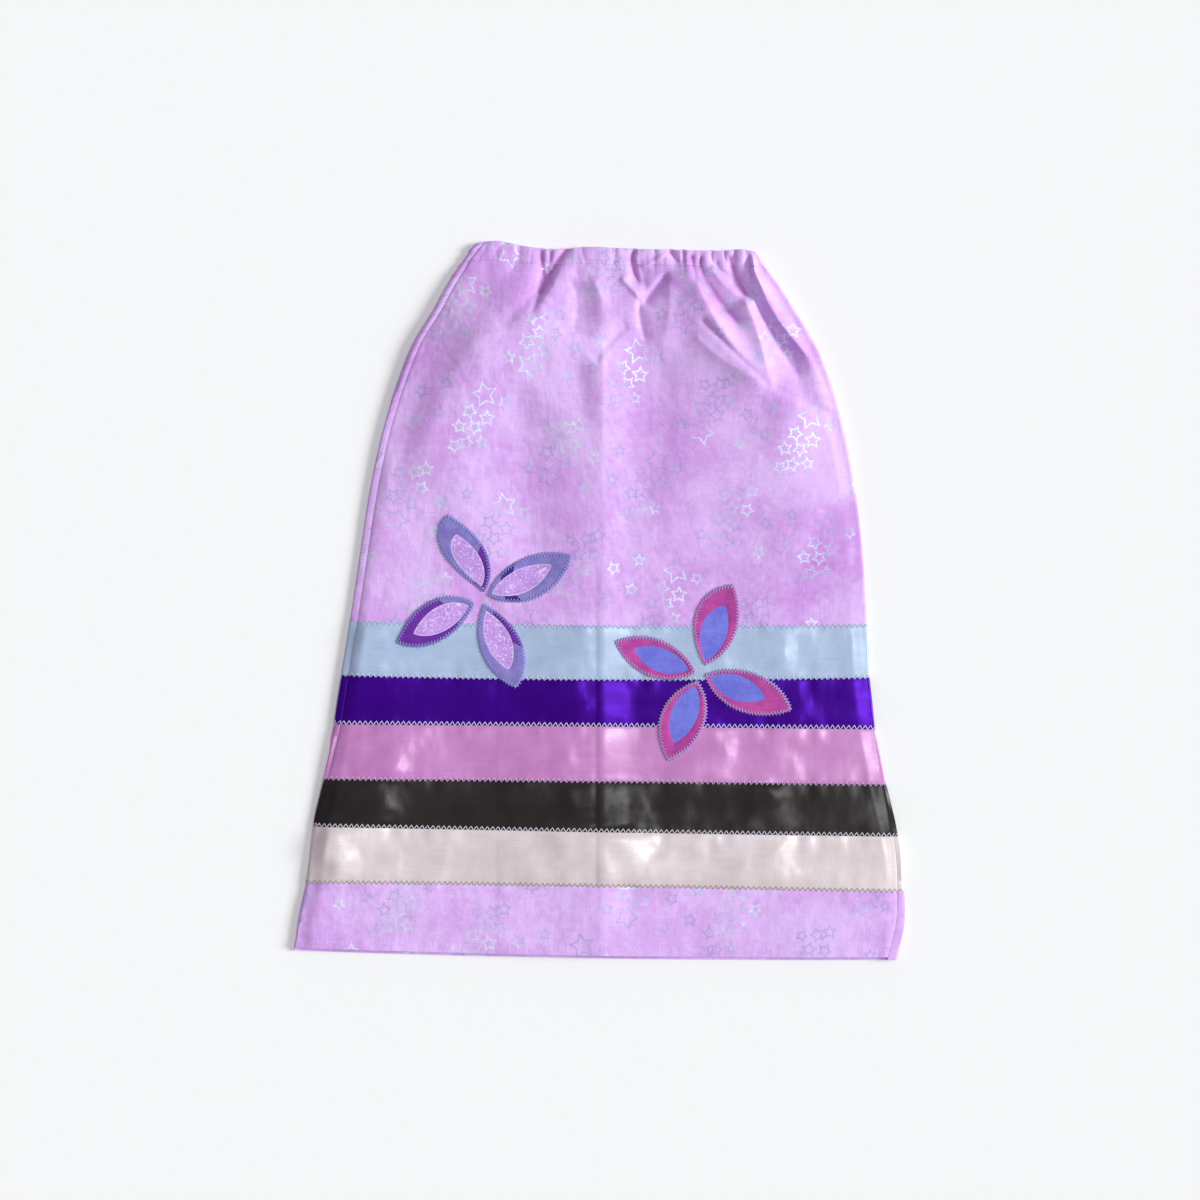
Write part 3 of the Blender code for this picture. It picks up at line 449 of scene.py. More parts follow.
DROPS = np.array([level.drop for level in LEVELS])
COLUMNS = {each.name: np.array([getattr(level, each.name) for level in LEVELS]) for each in fields(Level)[2:]}
SLOPES = {name: np.gradient(column, DROPS) for name, column in COLUMNS.items()}
CRUMPLE = (  # of the cloth, from broad to fine, then broad again
    SoftNoise(3, 0.036, 0.046, 0.6), SoftNoise(5, 0.015, 0.019, 1.1),
    SoftNoise(8, 0.0056, 0.0064, 0.3), SoftNoise(9, 0.022, 0.03, 1.9),
)
PUCKERS = SoftNoise(12, 0.0075, 0.02)  # of cloth drawn up by a seam
GATHERS = SoftNoise(17, 0.0042, 0.03)  # of cloth gathered on elastic
BULGES = SoftNoise(21, 0.021, 0.022)  # of a ribbon


@dataclass
class SkirtForm:
    """The skirt's outermost surface as one closed tube, lying flat."""

    waist_y: float = 0.2531  # the waist edge at mid width
    laid_height: float = 0.0044  # height of the front where the skirt lies flattest
    edge_settle: float = 0.011  # from a side fold to where the front lies at its own height
    gathered: float = 0.24  # how much deeper the folds are under the waist
    room: float = 0.0014  # how far a trough reaches below that height
    slack: float = 0.0008  # how softly a trough is stopped by the back
    wave_reach: float = 0.02  # the waist edge's waves die out this far below it
    crease_x: float = 0.002  # where the pressed crease down the middle runs
    seam_gap: float = 0.0002  # between the front and the back at a side seam

    def value(self, name: str, drop: Array) -> Array:
        """One column of the levels at any drop.

        Args:
            name: the column.
            drop: distances below the waist edge.

        Returns:
            The column's values there.
        """
        drop = np.asarray(drop, float)
        cell = np.clip(np.searchsorted(DROPS, drop, side="right") - 1, 0, len(DROPS) - 2)
        values, slopes = COLUMNS[name], SLOPES[name]
        span = DROPS[cell + 1] - DROPS[cell]
        t = np.clip((drop - DROPS[cell]) / span, -0.2, 1.2)
        t2, t3 = t * t, t * t * t
        return (
            (2 * t3 - 3 * t2 + 1) * values[cell]
            + (t3 - 2 * t2 + t) * span * slopes[cell]
            + (3 * t2 - 2 * t3) * values[cell + 1]
            + (t3 - t2) * span * slopes[cell + 1]
        )

    def ends(self, drop: Array) -> Tuple[Array, Array]:
        """The x of a level's left and right end."""
        return self.value("left_x", drop), self.value("right_x", drop)

    def y_of(self, x: Array, drop: Array) -> Array:
        """How far up the laid skirt a level lies.

        Args:
            x: where to read it.
            drop: of the level at mid width.

        Returns:
            Its y there.
        """
        left, right = self.ends(drop)
        across = (x - left) / (right - left)
        rise = self.value("left_rise", drop) * (1 - across) * (1 - 2 * across)
        rise = rise + self.value("right_rise", drop) * across * (2 * across - 1)
        fade = 1 - smooth_step(drop / self.wave_reach)
        for wave in WAIST_WAVES:
            rise = rise + fade * wave.rise * bump(across - wave.at, wave.width)
        return self.waist_y - drop + rise

    def drop_of(self, x: Array, y: Array) -> Array:
        """The drop of the level through each point of the front.

        Args:
            x, y: the points.

        Returns:
            The drops, found in a few rounds.
        """
        drop = self.waist_y - np.asarray(y, float)
        for _ in range(6):
            drop = drop + self.y_of(x, drop) - y
        return drop

    def front_height(self, x: Array, drop: Array) -> Array:
        """Height of the front above what the skirt lies on.

        Args:
            x, drop: the place.

        Returns:
            Heights of the same shape.
        """
        shape = np.shape(x)
        x, drop = np.ravel(x), np.ravel(drop)
        left, right = self.ends(drop)
        side = self.value("side", drop)
        across = np.clip((x - left) / (right - left), 0.0, 1.0)
        y = self.y_of(x, drop)
        raised = self.value("loft", drop) * np.sqrt(4 * across * (1 - across))
        deep = 1 + self.gathered * (1 - ramp(drop, 0.1, 0.16))
        for profile, folds in FOLDS.items():
            for fold in folds:
                raised = raised + deep * fold.height_at(x, y, profile)
        raised = raised + self.swell(x, drop) + self.crumpled(x, y, drop) + self.room
        raised = (raised + np.sqrt(raised**2 + self.slack**2)) / 2 - self.room
        settled = smooth_step((np.minimum(x - left, right - x) - side) / self.edge_settle)
        return (2 * side * (1 - settled) + (self.laid_height + raised) * settled).reshape(shape)

    def crumpled(self, x: Array, y: Array, drop: Array) -> Array:
        """The front's small bumps, which ribbons hold flatter than bare cotton.

        Args:
            x, y, drop: the place.

        Returns:
            The added heights.
        """
        cotton = 1 - ramp(drop, 0.262, 0.274) + ramp(drop, 0.456, 0.466)
        broad = 0.0007 * CRUMPLE[0].at(x, y) + 0.00042 * CRUMPLE[3].at(x, y)
        small = 0.00018 * CRUMPLE[1].at(x, y) + 0.00005 * CRUMPLE[2].at(x, y)
        return (0.45 + 0.55 * cotton) * broad + cotton * small

    def swell(self, x: Array, drop: Array) -> Array:
        """What the waves across the ribbons add to the height of the front.

        Args:
            x, drop: the place.

        Returns:
            The added heights.
        """
        breadth = self.value("right_x", drop) - self.value("left_x", drop)
        blend = 0.007  # a wave dies out from this far inside its ribbon to as far outside
        added = np.zeros(np.shape(x))
        for name, below in zip(RIBBON_EDGES, RIBBON_EDGES[1:]):
            top, foot = DROP[name], DROP[below]
            on_band = ramp(drop, top - blend, top + blend) * (1 - ramp(drop, foot - blend, foot + blend))
            near = on_band > 0
            if not near.any():
                continue
            at, down = x[near], drop[near]
            middle = np.array([(top + foot) / 2])
            width = self.value("right_x", middle) - self.value("left_x", middle)
            uneven = 0.9 + 0.45 * CRUMPLE[1].at(at, down + top)
            sway = 0.0034 * CRUMPLE[1].at(at + top, down) + 0.0012 * CRUMPLE[2].at(at, down)
            across = at * width / breadth[near] + sway
            waves = sum(wave.height_at(across) for wave in SWELLS if wave.top == name)
            added[near] += on_band[near] * uneven * waves
        return added

    def pinch(self, x: Array, drop: Array) -> Array:
        """Painted shade: how deep the front lies in a narrow pleat, and less in a broader deep trough; it
        makes the colour darker and pinker there.

        Args:
            x, drop: the place.

        Returns:
            Shares from 0 to 1.
        """
        y, deepest = self.y_of(x, drop), np.zeros(np.shape(x))
        for profile, folds in ((Profile.SOFT, SOFT_FOLDS), (Profile.LEANING, LEANING_FOLDS)):
            for fold in folds:
                if fold.height0 < -PLEAT_DEPTH:
                    narrow = profile is Profile.SOFT and fold.width0 < PLEAT_WIDTH
                    full, most = (0.0028, 1.0) if narrow else (0.004, 0.45)
                    share = -fold.height_at(x, y, profile) / full
                    deepest = np.maximum(deepest, most * np.clip(share, 0.0, 1.0) ** 2)
        return deepest

    def back_lift(self, x: Array, drop: Array) -> Array:
        """How far the pleats of the back casing lift from what the skirt lies on."""
        fades = ((g, 1 - smooth_step(drop / g.length)) for g in BACK_GATHERS)
        return sum((g.lift * fade * bump(x - g.x, g.half_width) for g, fade in fades), np.zeros(np.shape(x)))

    def girth(self, drop: Array) -> Array:
        """Length of cloth round the whole tube at a drop."""
        breadth = self.value("right_x", drop) - self.value("left_x", drop)
        return 2 * breadth + (TWO_PI - 4) * self.value("side", drop)

    def crease_way(self, drop: Array) -> Array:
        """How far round the tube the pressed crease lies."""
        side = self.value("side", drop)
        return self.crease_x - self.value("left_x", drop) - side + math.pi * side / 2

    def envelope(self, way: Array, drop: Array) -> Array:
        """Points of the bare tube.

        Args:
            way: distance round the tube from the left fold, over the front and back under.
            drop: distance below the waist edge.

        Returns:
            Points, one more axis than way.
        """
        way, drop = np.broadcast_arrays(np.asarray(way, float), np.asarray(drop, float))
        left, right = self.ends(drop)
        side = self.value("side", drop)
        quarter = math.pi * side / 2
        flat = right - left - 2 * side
        whole = self.girth(drop)
        way = np.mod(way, whole)
        way = np.where(way > whole - quarter, way - whole, way)
        left_turn = way / side
        right_turn = (way - quarter - flat) / side - math.pi / 2
        under = way - 3 * quarter - flat
        where = [way < quarter, way < quarter + flat, way < 3 * quarter + flat]
        x = np.select(
            where,
            [left + side - side * np.cos(left_turn), left + side + way - quarter,
             right - side + side * np.cos(right_turn)],
            right - side - under,
        )
        z = np.select(
            where,
            [side + side * np.sin(left_turn), self.front_height(x, drop),
             side - side * np.sin(right_turn)],
            self.back_lift(x, drop),
        )
        return np.stack([x, self.y_of(x, drop), z], axis=-1)

    def relief(self, way: Array, drop: Array) -> Array:
        """How far sewing makes the cloth stand out from the bare tube.

        Args:
            way, drop: the place on the tube.

        Returns:
            Heights, at most 0 on the underside.
        """
        whole = self.girth(drop)
        front = np.mod(way, whole) < whole / 2
        across = np.where(front, way, whole - way) - self.crease_way(drop)
        # the casing's puff and groove, and the gathers and puckers below it
        seam = DROP["casing seam"]
        casing = 0.0005 * np.sin(math.pi * np.clip(drop / seam, 0, 1)) * (drop < seam)
        casing = casing - 0.00018 * bump(drop - seam, 0.0012)
        gathered = 0.35 + 0.65 * ramp(across, 0.015, 0.045)
        fine = GATHERS.at(across, drop * 0 + 0.4) + 0.5 * GATHERS.at(across * 1.7, drop * 0.4)
        fine = np.where(fine < 0, fine, 0.6 * np.sqrt(np.abs(fine)))
        casing = casing + 0.00075 * gathered * fine * (1 - ramp(drop, 0.008, 0.022))
        casing = casing + 0.0005 * PUCKERS.at(across * 1.3, drop * 0 + 0.3) * bump(drop - seam - 0.004, 0.008)
        # the ribbons' bulge between their edges, and the puckers and grooves along these
        band = ramp(drop, 0.27, 0.274) * (1 - ramp(drop, 0.46, 0.463))
        nearest = np.min([np.abs(drop - DROP[edge]) for edge in RIBBON_EDGES], axis=0)
        at_edge = bump(nearest, 0.0095) * ramp(drop, 0.262, 0.272)
        ribbon = band * (0.0003 * (1 - bump(nearest, 0.006)) + 0.00024 * BULGES.at(across, drop))
        ribbon = ribbon + 0.00026 * PUCKERS.at(across, drop) * at_edge - 0.00022 * bump(nearest, 0.001)
        # the turned hem, its row of stitches and its puckers
        above = DROP["hem"] - drop
        hem = 0.0003 * smooth_step((0.0058 - above) / 0.0012) - 0.00025 * bump(above - 0.0058, 0.0009)
        hem = hem + 0.00025 * PUCKERS.at(across * 1.1, above * 0 + 0.1) * bump(above - 0.005, 0.006)
        out = casing + ribbon + hem
        return np.where(front, out, np.minimum(0.6 * out - 0.0004, 0.0) * (drop < DROP["hem"] + 0.01))

    def seam_dip(self, way: Array, drop: Array) -> Array:
        """How far the side seams pull the cloth in.

        Args:
            way, drop: the place on the tube.

        Returns:
            The depths.
        """
        whole = self.girth(drop)
        dip = np.zeros(np.broadcast(way, drop).shape)
        for seam in (self.value("left_seam", drop), whole / 2 - self.value("right_seam", drop)):
            for turn in (0.0, 1.0):
                dip = dip + 0.00045 * bump(way - seam - turn * whole, 0.0011)
        return dip

    def surface(self, way: Array, drop: Array, depth: Array) -> Tuple[Array, Array]:
        """Points at a depth under the sewn surface, and its outward direction.

        Args:
            way, drop: the place on the tube.
            depth: distance inwards, below 0 to stand out.

        Returns:
            The points and the unit directions.
        """
        step = 0.0004
        way, drop = np.broadcast_arrays(np.asarray(way, float), np.asarray(drop, float))
        points = self.envelope(way, drop)
        across = self.envelope(way + step, drop) - self.envelope(way - step, drop)
        along = self.envelope(way, drop - step) - self.envelope(way, drop + step)
        normal = np.cross(across, along)
        normal /= np.linalg.norm(normal, axis=-1, keepdims=True)
        inwards = depth - self.relief(way, drop) + self.seam_dip(way, drop)
        points = points - normal * inwards[..., None]
        points[..., 2] = np.maximum(points[..., 2], 0.00002)
        return points, normal

    def front_ways(self, drop: Array) -> Tuple[Array, Array]:
        """Where the front starts and ends round the tube."""
        start = self.value("left_seam", drop) + self.seam_gap / 2
        return start, self.girth(drop) / 2 - self.value("right_seam", drop) - self.seam_gap / 2

    def back_ways(self, drop: Array) -> Tuple[Array, Array]:
        """Where the back starts and ends round the tube."""
        start, end = self.front_ways(drop)
        return end + self.seam_gap, start + self.girth(drop) - self.seam_gap

    @property
    def halves(self) -> Tuple[Tuple[str, Ways], ...]:
        """The front and the back, each with where it starts and ends round the tube."""
        return ("front", self.front_ways), ("back", self.back_ways)

    def on_front(self, plan: Array) -> Tuple[Array, Array]:
        """Where plan points of the front lie, round the tube and below the waist edge."""
        drop = self.drop_of(plan[..., 0], plan[..., 1])
        return plan[..., 0] - self.crease_x + self.crease_way(drop), drop


# ---- meshes
SMOOTH_ANGLE, THREAD_ANGLE = math.radians(50), math.radians(85)


def piece_from(
    name: str, points: Array, faces: Sequence, material: Material, angle: float = SMOOTH_ANGLE
) -> Piece:
    """A new piece that rides on the skirt.

    Args:
        name: the piece's name.
        points: its vertices.
        faces: its faces, as an array of quads or a list of polygons.
        material: its finish.
        angle: faces that meet more sharply keep their edge.

    Returns:
        The piece, shaded smooth.
    """
    mesh = bpy.data.meshes.new(name)
    if isinstance(faces, np.ndarray):
        mesh.vertices.add(len(points))
        mesh.vertices.foreach_set("co", np.asarray(points, np.float32).ravel())
        mesh.loops.add(faces.size)
        mesh.loops.foreach_set("vertex_index", faces.astype(np.int32).ravel())
        mesh.polygons.add(len(faces))
        mesh.polygons.foreach_set("loop_start", np.arange(0, faces.size, faces.shape[1], dtype=np.int32))
        mesh.update(calc_edges=True)
    else:
        mesh.from_pydata([tuple(map(float, p)) for p in points], [], faces)
    mesh.validate()
    mesh.shade_smooth()
    mesh.set_sharp_from_angle(angle=angle)
    mesh.materials.append(material)
    made = bpy.data.objects.new(name, mesh)
    bpy.context.scene.collection.objects.link(made)
    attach(made, "root")
    return made


def lay_pattern(mesh: bpy.types.Mesh, name: str, values: Array) -> None:
    """Stores flat cloth coordinates, in metres, for a print or weave.

    Args:
        mesh: the mesh.
        name: the name of the coordinates.
        values: a pair for each vertex.
    """
    layer = mesh.uv_layers.new(name=name)
    order = np.empty(len(mesh.loops), np.int32)
    mesh.loops.foreach_get("vertex_index", order)
    layer.uv.foreach_set("vector", np.asarray(values, np.float32)[order].ravel())


def store_share(mesh: bpy.types.Mesh, name: str, values: Array) -> None:
    """Stores one number for each vertex."""
    mesh.attributes.new(name, "FLOAT", "POINT").data.foreach_set("value", np.asarray(values, np.float32))


def ring_faces(first: int, second: int, count: int) -> List[Tuple[int, ...]]:
    """Quads between two closed rings of points, given the number of each ring's first point."""
    return [(first + i, second + i, second + (i + 1) % count, first + (i + 1) % count) for i in range(count)]


def flush(depth: float) -> Callable[[Array], Array]:
    """A wall's outer face at one depth, whatever the drop."""
    return lambda drop: np.full_like(drop, depth)


ROLL_SHARE = 0.94  # how near the two faces of a rolled edge come to each other


class Rolled(Enum):
    """Which edge of a wall of cloth is rounded, as where the cloth is turned over."""

    NONE = "none"
    TOP = "top"
    FOOT = "foot"


@dataclass
class Shell:
    """A thin closed wall of cloth on the skirt's form."""

    form: SkirtForm
    ways: Ways  # where the wall starts and ends round the tube, by drop
    drops: Array
    columns: int
    thickness: float
    outer: Callable[[Array], Array]  # depth of the outer face, by drop
    rolled: Rolled = Rolled.NONE  # the edge that is rounded

    def build(self, name: str, material: Material) -> Piece:
        """Makes the wall.

        Args:
            name: the piece's name.
            material: its finish.

        Returns:
            The piece, with its cloth coordinates.
        """
        drops = np.asarray(self.drops, float)
        start, end = self.ways(drops)
        share = np.linspace(0, 1, self.columns + 1)
        ways = start[:, None] + (end - start)[:, None] * share[None, :]
        drop = np.repeat(drops[:, None], self.columns + 1, axis=1)
        outer = self.outer(drop)
        inner = outer + self.thickness
        if self.rolled is not Rolled.NONE:
            edge = drops[0] if self.rolled is Rolled.TOP else drops[-1]
            near = np.clip(1 - np.abs(drop - edge) / (self.thickness / 2), 0, 1)
            turn = self.thickness / 2 * (1 - np.sqrt(1 - near**2)) * ROLL_SHARE
            outer, inner = outer + turn, inner - turn
        top, _ = self.form.surface(ways, drop, outer)
        low, _ = self.form.surface(ways, drop, inner)
        rows, cols = drop.shape
        index = np.arange(rows * cols).reshape(rows, cols)
        quads = np.stack([index[:-1, :-1], index[1:, :-1], index[1:, 1:], index[:-1, 1:]], -1).reshape(-1, 4)
        under = quads[:, ::-1] + rows * cols
        loop = np.concatenate([index[0, :-1], index[:-1, -1], index[-1, :0:-1], index[:0:-1, 0]])
        after = np.roll(loop, -1)
        rim = np.stack([loop, after, after + rows * cols, loop + rows * cols], -1)
        points = np.concatenate([top.reshape(-1, 3), low.reshape(-1, 3)])
        made = piece_from(name, points, np.concatenate([quads, under, rim]), material)
        cloth = np.stack([ways - self.form.crease_way(drop), -drop], -1).reshape(-1, 2)
        lay_pattern(made.data, "Cloth", np.concatenate([cloth, cloth]))
        return made


@dataclass
class Sewing:
    """Gathers lengths of thread into one mesh."""

    radius: float = 0.0002
    sides: int = 5  # of the thread's section
    points: List[Array] = field(default_factory=list)  # of the thread laid so far
    faces: List[Tuple[int, ...]] = field(default_factory=list)  # of the thread laid so far
    count: int = 0  # of those points

    def lay(self, path: Array, normal: Array, closed: bool = False) -> None:
        """Adds a length of thread.

        Args:
            path: points along it.
            normal: the cloth's outward direction at each point.
            closed: True when its end meets its start.
        """
        if closed:
            tangent = np.roll(path, -1, axis=0) - np.roll(path, 1, axis=0)
        else:
            tangent = np.gradient(path, axis=0)
        tangent /= np.linalg.norm(tangent, axis=1, keepdims=True) + 1e-12
        across = np.cross(tangent, normal)
        across /= np.linalg.norm(across, axis=1, keepdims=True) + 1e-12
        up = np.cross(across, tangent)
        path = path + (0.0, 0.0, 1.0) * np.maximum(self.radius - path[:, 2:], 0.0)
        size = np.full(len(path), self.radius)
        if not closed:
            size[0] = size[-1] = self.radius * 0.4
        turn = np.linspace(0, TWO_PI, self.sides, endpoint=False)
        ring = (
            path[:, None]
            + size[:, None, None] * (
                np.cos(turn)[None, :, None] * across[:, None] + np.sin(turn)[None, :, None] * up[:, None]
            )
        )
        first, sides, rings = self.count, self.sides, len(path)
        for i in range(rings if closed else rings - 1):
            for k in range(sides):
                after, low, high = (k + 1) % sides, first + i * sides, first + (i + 1) % rings * sides
                self.faces.append((low + k, low + after, high + after, high + k))
        if not closed:
            self.faces.append(tuple(first + k for k in reversed(range(sides))))
            self.faces.append(tuple(first + (rings - 1) * sides + k for k in range(sides)))
        self.points.append(ring.reshape(-1, 3))
        self.count += rings * sides

    def finish(self, name: str, material: Material) -> Piece:
        """Makes the piece from all the thread laid."""
        return piece_from(name, np.concatenate(self.points), self.faces, material, THREAD_ANGLE)


# ---- shader nodes
class Graph:
    """A short way to write shader nodes in one tree."""

    def __init__(self, tree: bpy.types.NodeTree) -> None:
        """Keeps the tree."""
        self.tree = tree

    def node(self, kind: str, *values: Given, **settings: object) -> Node:
        """Makes a node.

        Args:
            kind: its type.
            values: its inputs in their order, None to leave one as it is.
            settings: its properties.

        Returns:
            The node.
        """
        made = self.tree.nodes.new(kind)
        for key, value in settings.items():
            setattr(made, key, value)
        for socket, value in zip(made.inputs, values):
            self.feed(socket, value)
        return made

    def feed(self, socket: Socket, value: Given) -> None:
        """Links an input to an output, or sets it.

        Args:
            socket: the input.
            value: an output, a number or a colour, None to leave the input as it is.
        """
        if isinstance(value, Socket):
            self.tree.links.new(value, socket)
        elif value is not None:
            socket.default_value = (*value, 1.0) if socket.type == "RGBA" and len(value) == 3 else value

    def group(self, tree: bpy.types.NodeTree, **values: Given) -> Node:
        """Places a node group.

        Args:
            tree: the group.
            values: its inputs by name, with _ for each space.

        Returns:
            Its node.
        """
        made = self.node("ShaderNodeGroup", node_tree=tree)
        for key, value in values.items():
            self.feed(made.inputs[key.replace("_", " ")], value)
        return made

    def math(self, operation: str, *values: Given, clamp: bool = False) -> Socket:
        """The result of a Math node."""
        return self.node("ShaderNodeMath", *values, operation=operation, use_clamp=clamp).outputs[0]

    def times(self, a: Given, b: Given) -> Socket:
        """The product of two numbers."""
        return self.math("MULTIPLY", a, b)

    def minus(self, a: Given, b: Given) -> Socket:
        """The difference of two numbers."""
        return self.math("SUBTRACT", a, b)

    def scale_add(self, a: Given, b: Given, c: Given, clamp: bool = False) -> Socket:
        """The product of two numbers with a third added, kept within 0 and 1 if clamp."""
        return self.math("MULTIPLY_ADD", a, b, c, clamp=clamp)

    def mix(self, share: Given, a: Given, b: Given, blend: str = "MIX") -> Socket:
        """A mix of two colours, by the share of the second."""
        made = self.node("ShaderNodeMix", share, *[None] * 5, a, b, data_type="RGBA", blend_type=blend)
        return made.outputs[2]

    def split(self, vector: Given) -> Sequence[Socket]:
        """The three coordinates of a vector."""
        return self.node("ShaderNodeSeparateXYZ", vector).outputs[:]

    def join(self, x: Given, y: Given) -> Socket:
        """A vector from its first two coordinates."""
        return self.node("ShaderNodeCombineXYZ", x, y).outputs[0]

    def stretch(self, vector: Given, x: float, y: float, move: Tuple[float, float] = (0.0, 0.0)) -> Socket:
        """A vector with its first two coordinates scaled, then moved."""
        return self.node("ShaderNodeMapping", vector, (*move, 0.0), None, (x, y, 1.0)).outputs[0]

    def noise(self, vector: Given, scale: Given, detail: float = 2.0, rough: float = 0.5) -> Socket:
        """A noise from 0 to 1, mostly near 0.5."""
        values = (vector, None, scale, detail, rough)
        return self.node("ShaderNodeTexNoise", *values, noise_dimensions="2D").outputs[0]

    def spread(self, value: Given, low: float, high: float) -> Socket:
        """A value taken from low..high to 0..1, with soft ends."""
        return self.node("ShaderNodeMapRange", value, low, high, interpolation_type="SMOOTHSTEP").outputs[0]

    def bump(self, height: Given, distance: float, strength: float = 1.0, under: Given = None) -> Socket:
        """A normal that shows relief, on the normal under it. Height 1 stands as high as distance."""
        return self.node("ShaderNodeBump", strength, distance, None, height, under).outputs[0]

    def stored(self, name: str) -> Socket:
        """A number that the mesh stores for each vertex."""
        return self.node("ShaderNodeAttribute", attribute_name=name).outputs["Fac"]


def new_group(name: str, inputs: Dict[str, object], outputs: Sequence[str]) -> Tuple[Graph, Dict, Dict]:
    """Starts a node group.

    Args:
        name: its name.
        inputs: the default of each input, or "vector".
        outputs: names of its outputs.

    Returns:
        Its graph, and its inputs and outputs by name.
    """
    tree = bpy.data.node_groups.new(name, "ShaderNodeTree")
    for key, default in inputs.items():
        kind = "NodeSocketVector" if default == "vector" else "NodeSocketFloat"
        made = tree.interface.new_socket(key, in_out="INPUT", socket_type=kind)
        if kind == "NodeSocketFloat":
            made.default_value = default
    for key in outputs:
        tree.interface.new_socket(key, in_out="OUTPUT", socket_type="NodeSocketFloat")
    graph = Graph(tree)
    entry, leave = graph.node("NodeGroupInput"), graph.node("NodeGroupOutput")
    return graph, {k: entry.outputs[k] for k in inputs}, {k: leave.inputs[k] for k in outputs}


@dataclass(frozen=True)
class Star:
    """One star of the printed cluster."""

    x: float
    y: float
    radius: float  # from the centre to a tip
    turn: float  # how far it is turned


STAR_REPEAT = ((0.062, -0.023), (0.014, -0.079))  # from one cluster to the next, across and down
STAR_START = (-0.0448, -0.0684)  # the middle of one cluster
STAR_EDGE = (0.4427, 0.8967)  # the direction square to a star's edge, from the way to its tip
STAR_CHART = tuple(Star(*row) for row in (
    (-0.0079, -0.0173, 0.0088, 0.1),
    (0.0029, -0.0052, 0.0053, 0.75),
    (-0.0096, -0.0004, 0.0055, 0.35),
    (-0.0007, 0.0062, 0.005, 1.05),
    (0.0104, 0.0056, 0.0048, 0.2),
    (0.0052, 0.0172, 0.005, 0.6),
    (0.0138, 0.0196, 0.0048, 0.95),
    (-0.006, 0.0165, 0.004, 0.15),
    (0.0245, -0.004, 0.0044, 0.5),
    (-0.0225, -0.012, 0.0042, 0.9),
    (0.019, -0.025, 0.004, 0.3),
))


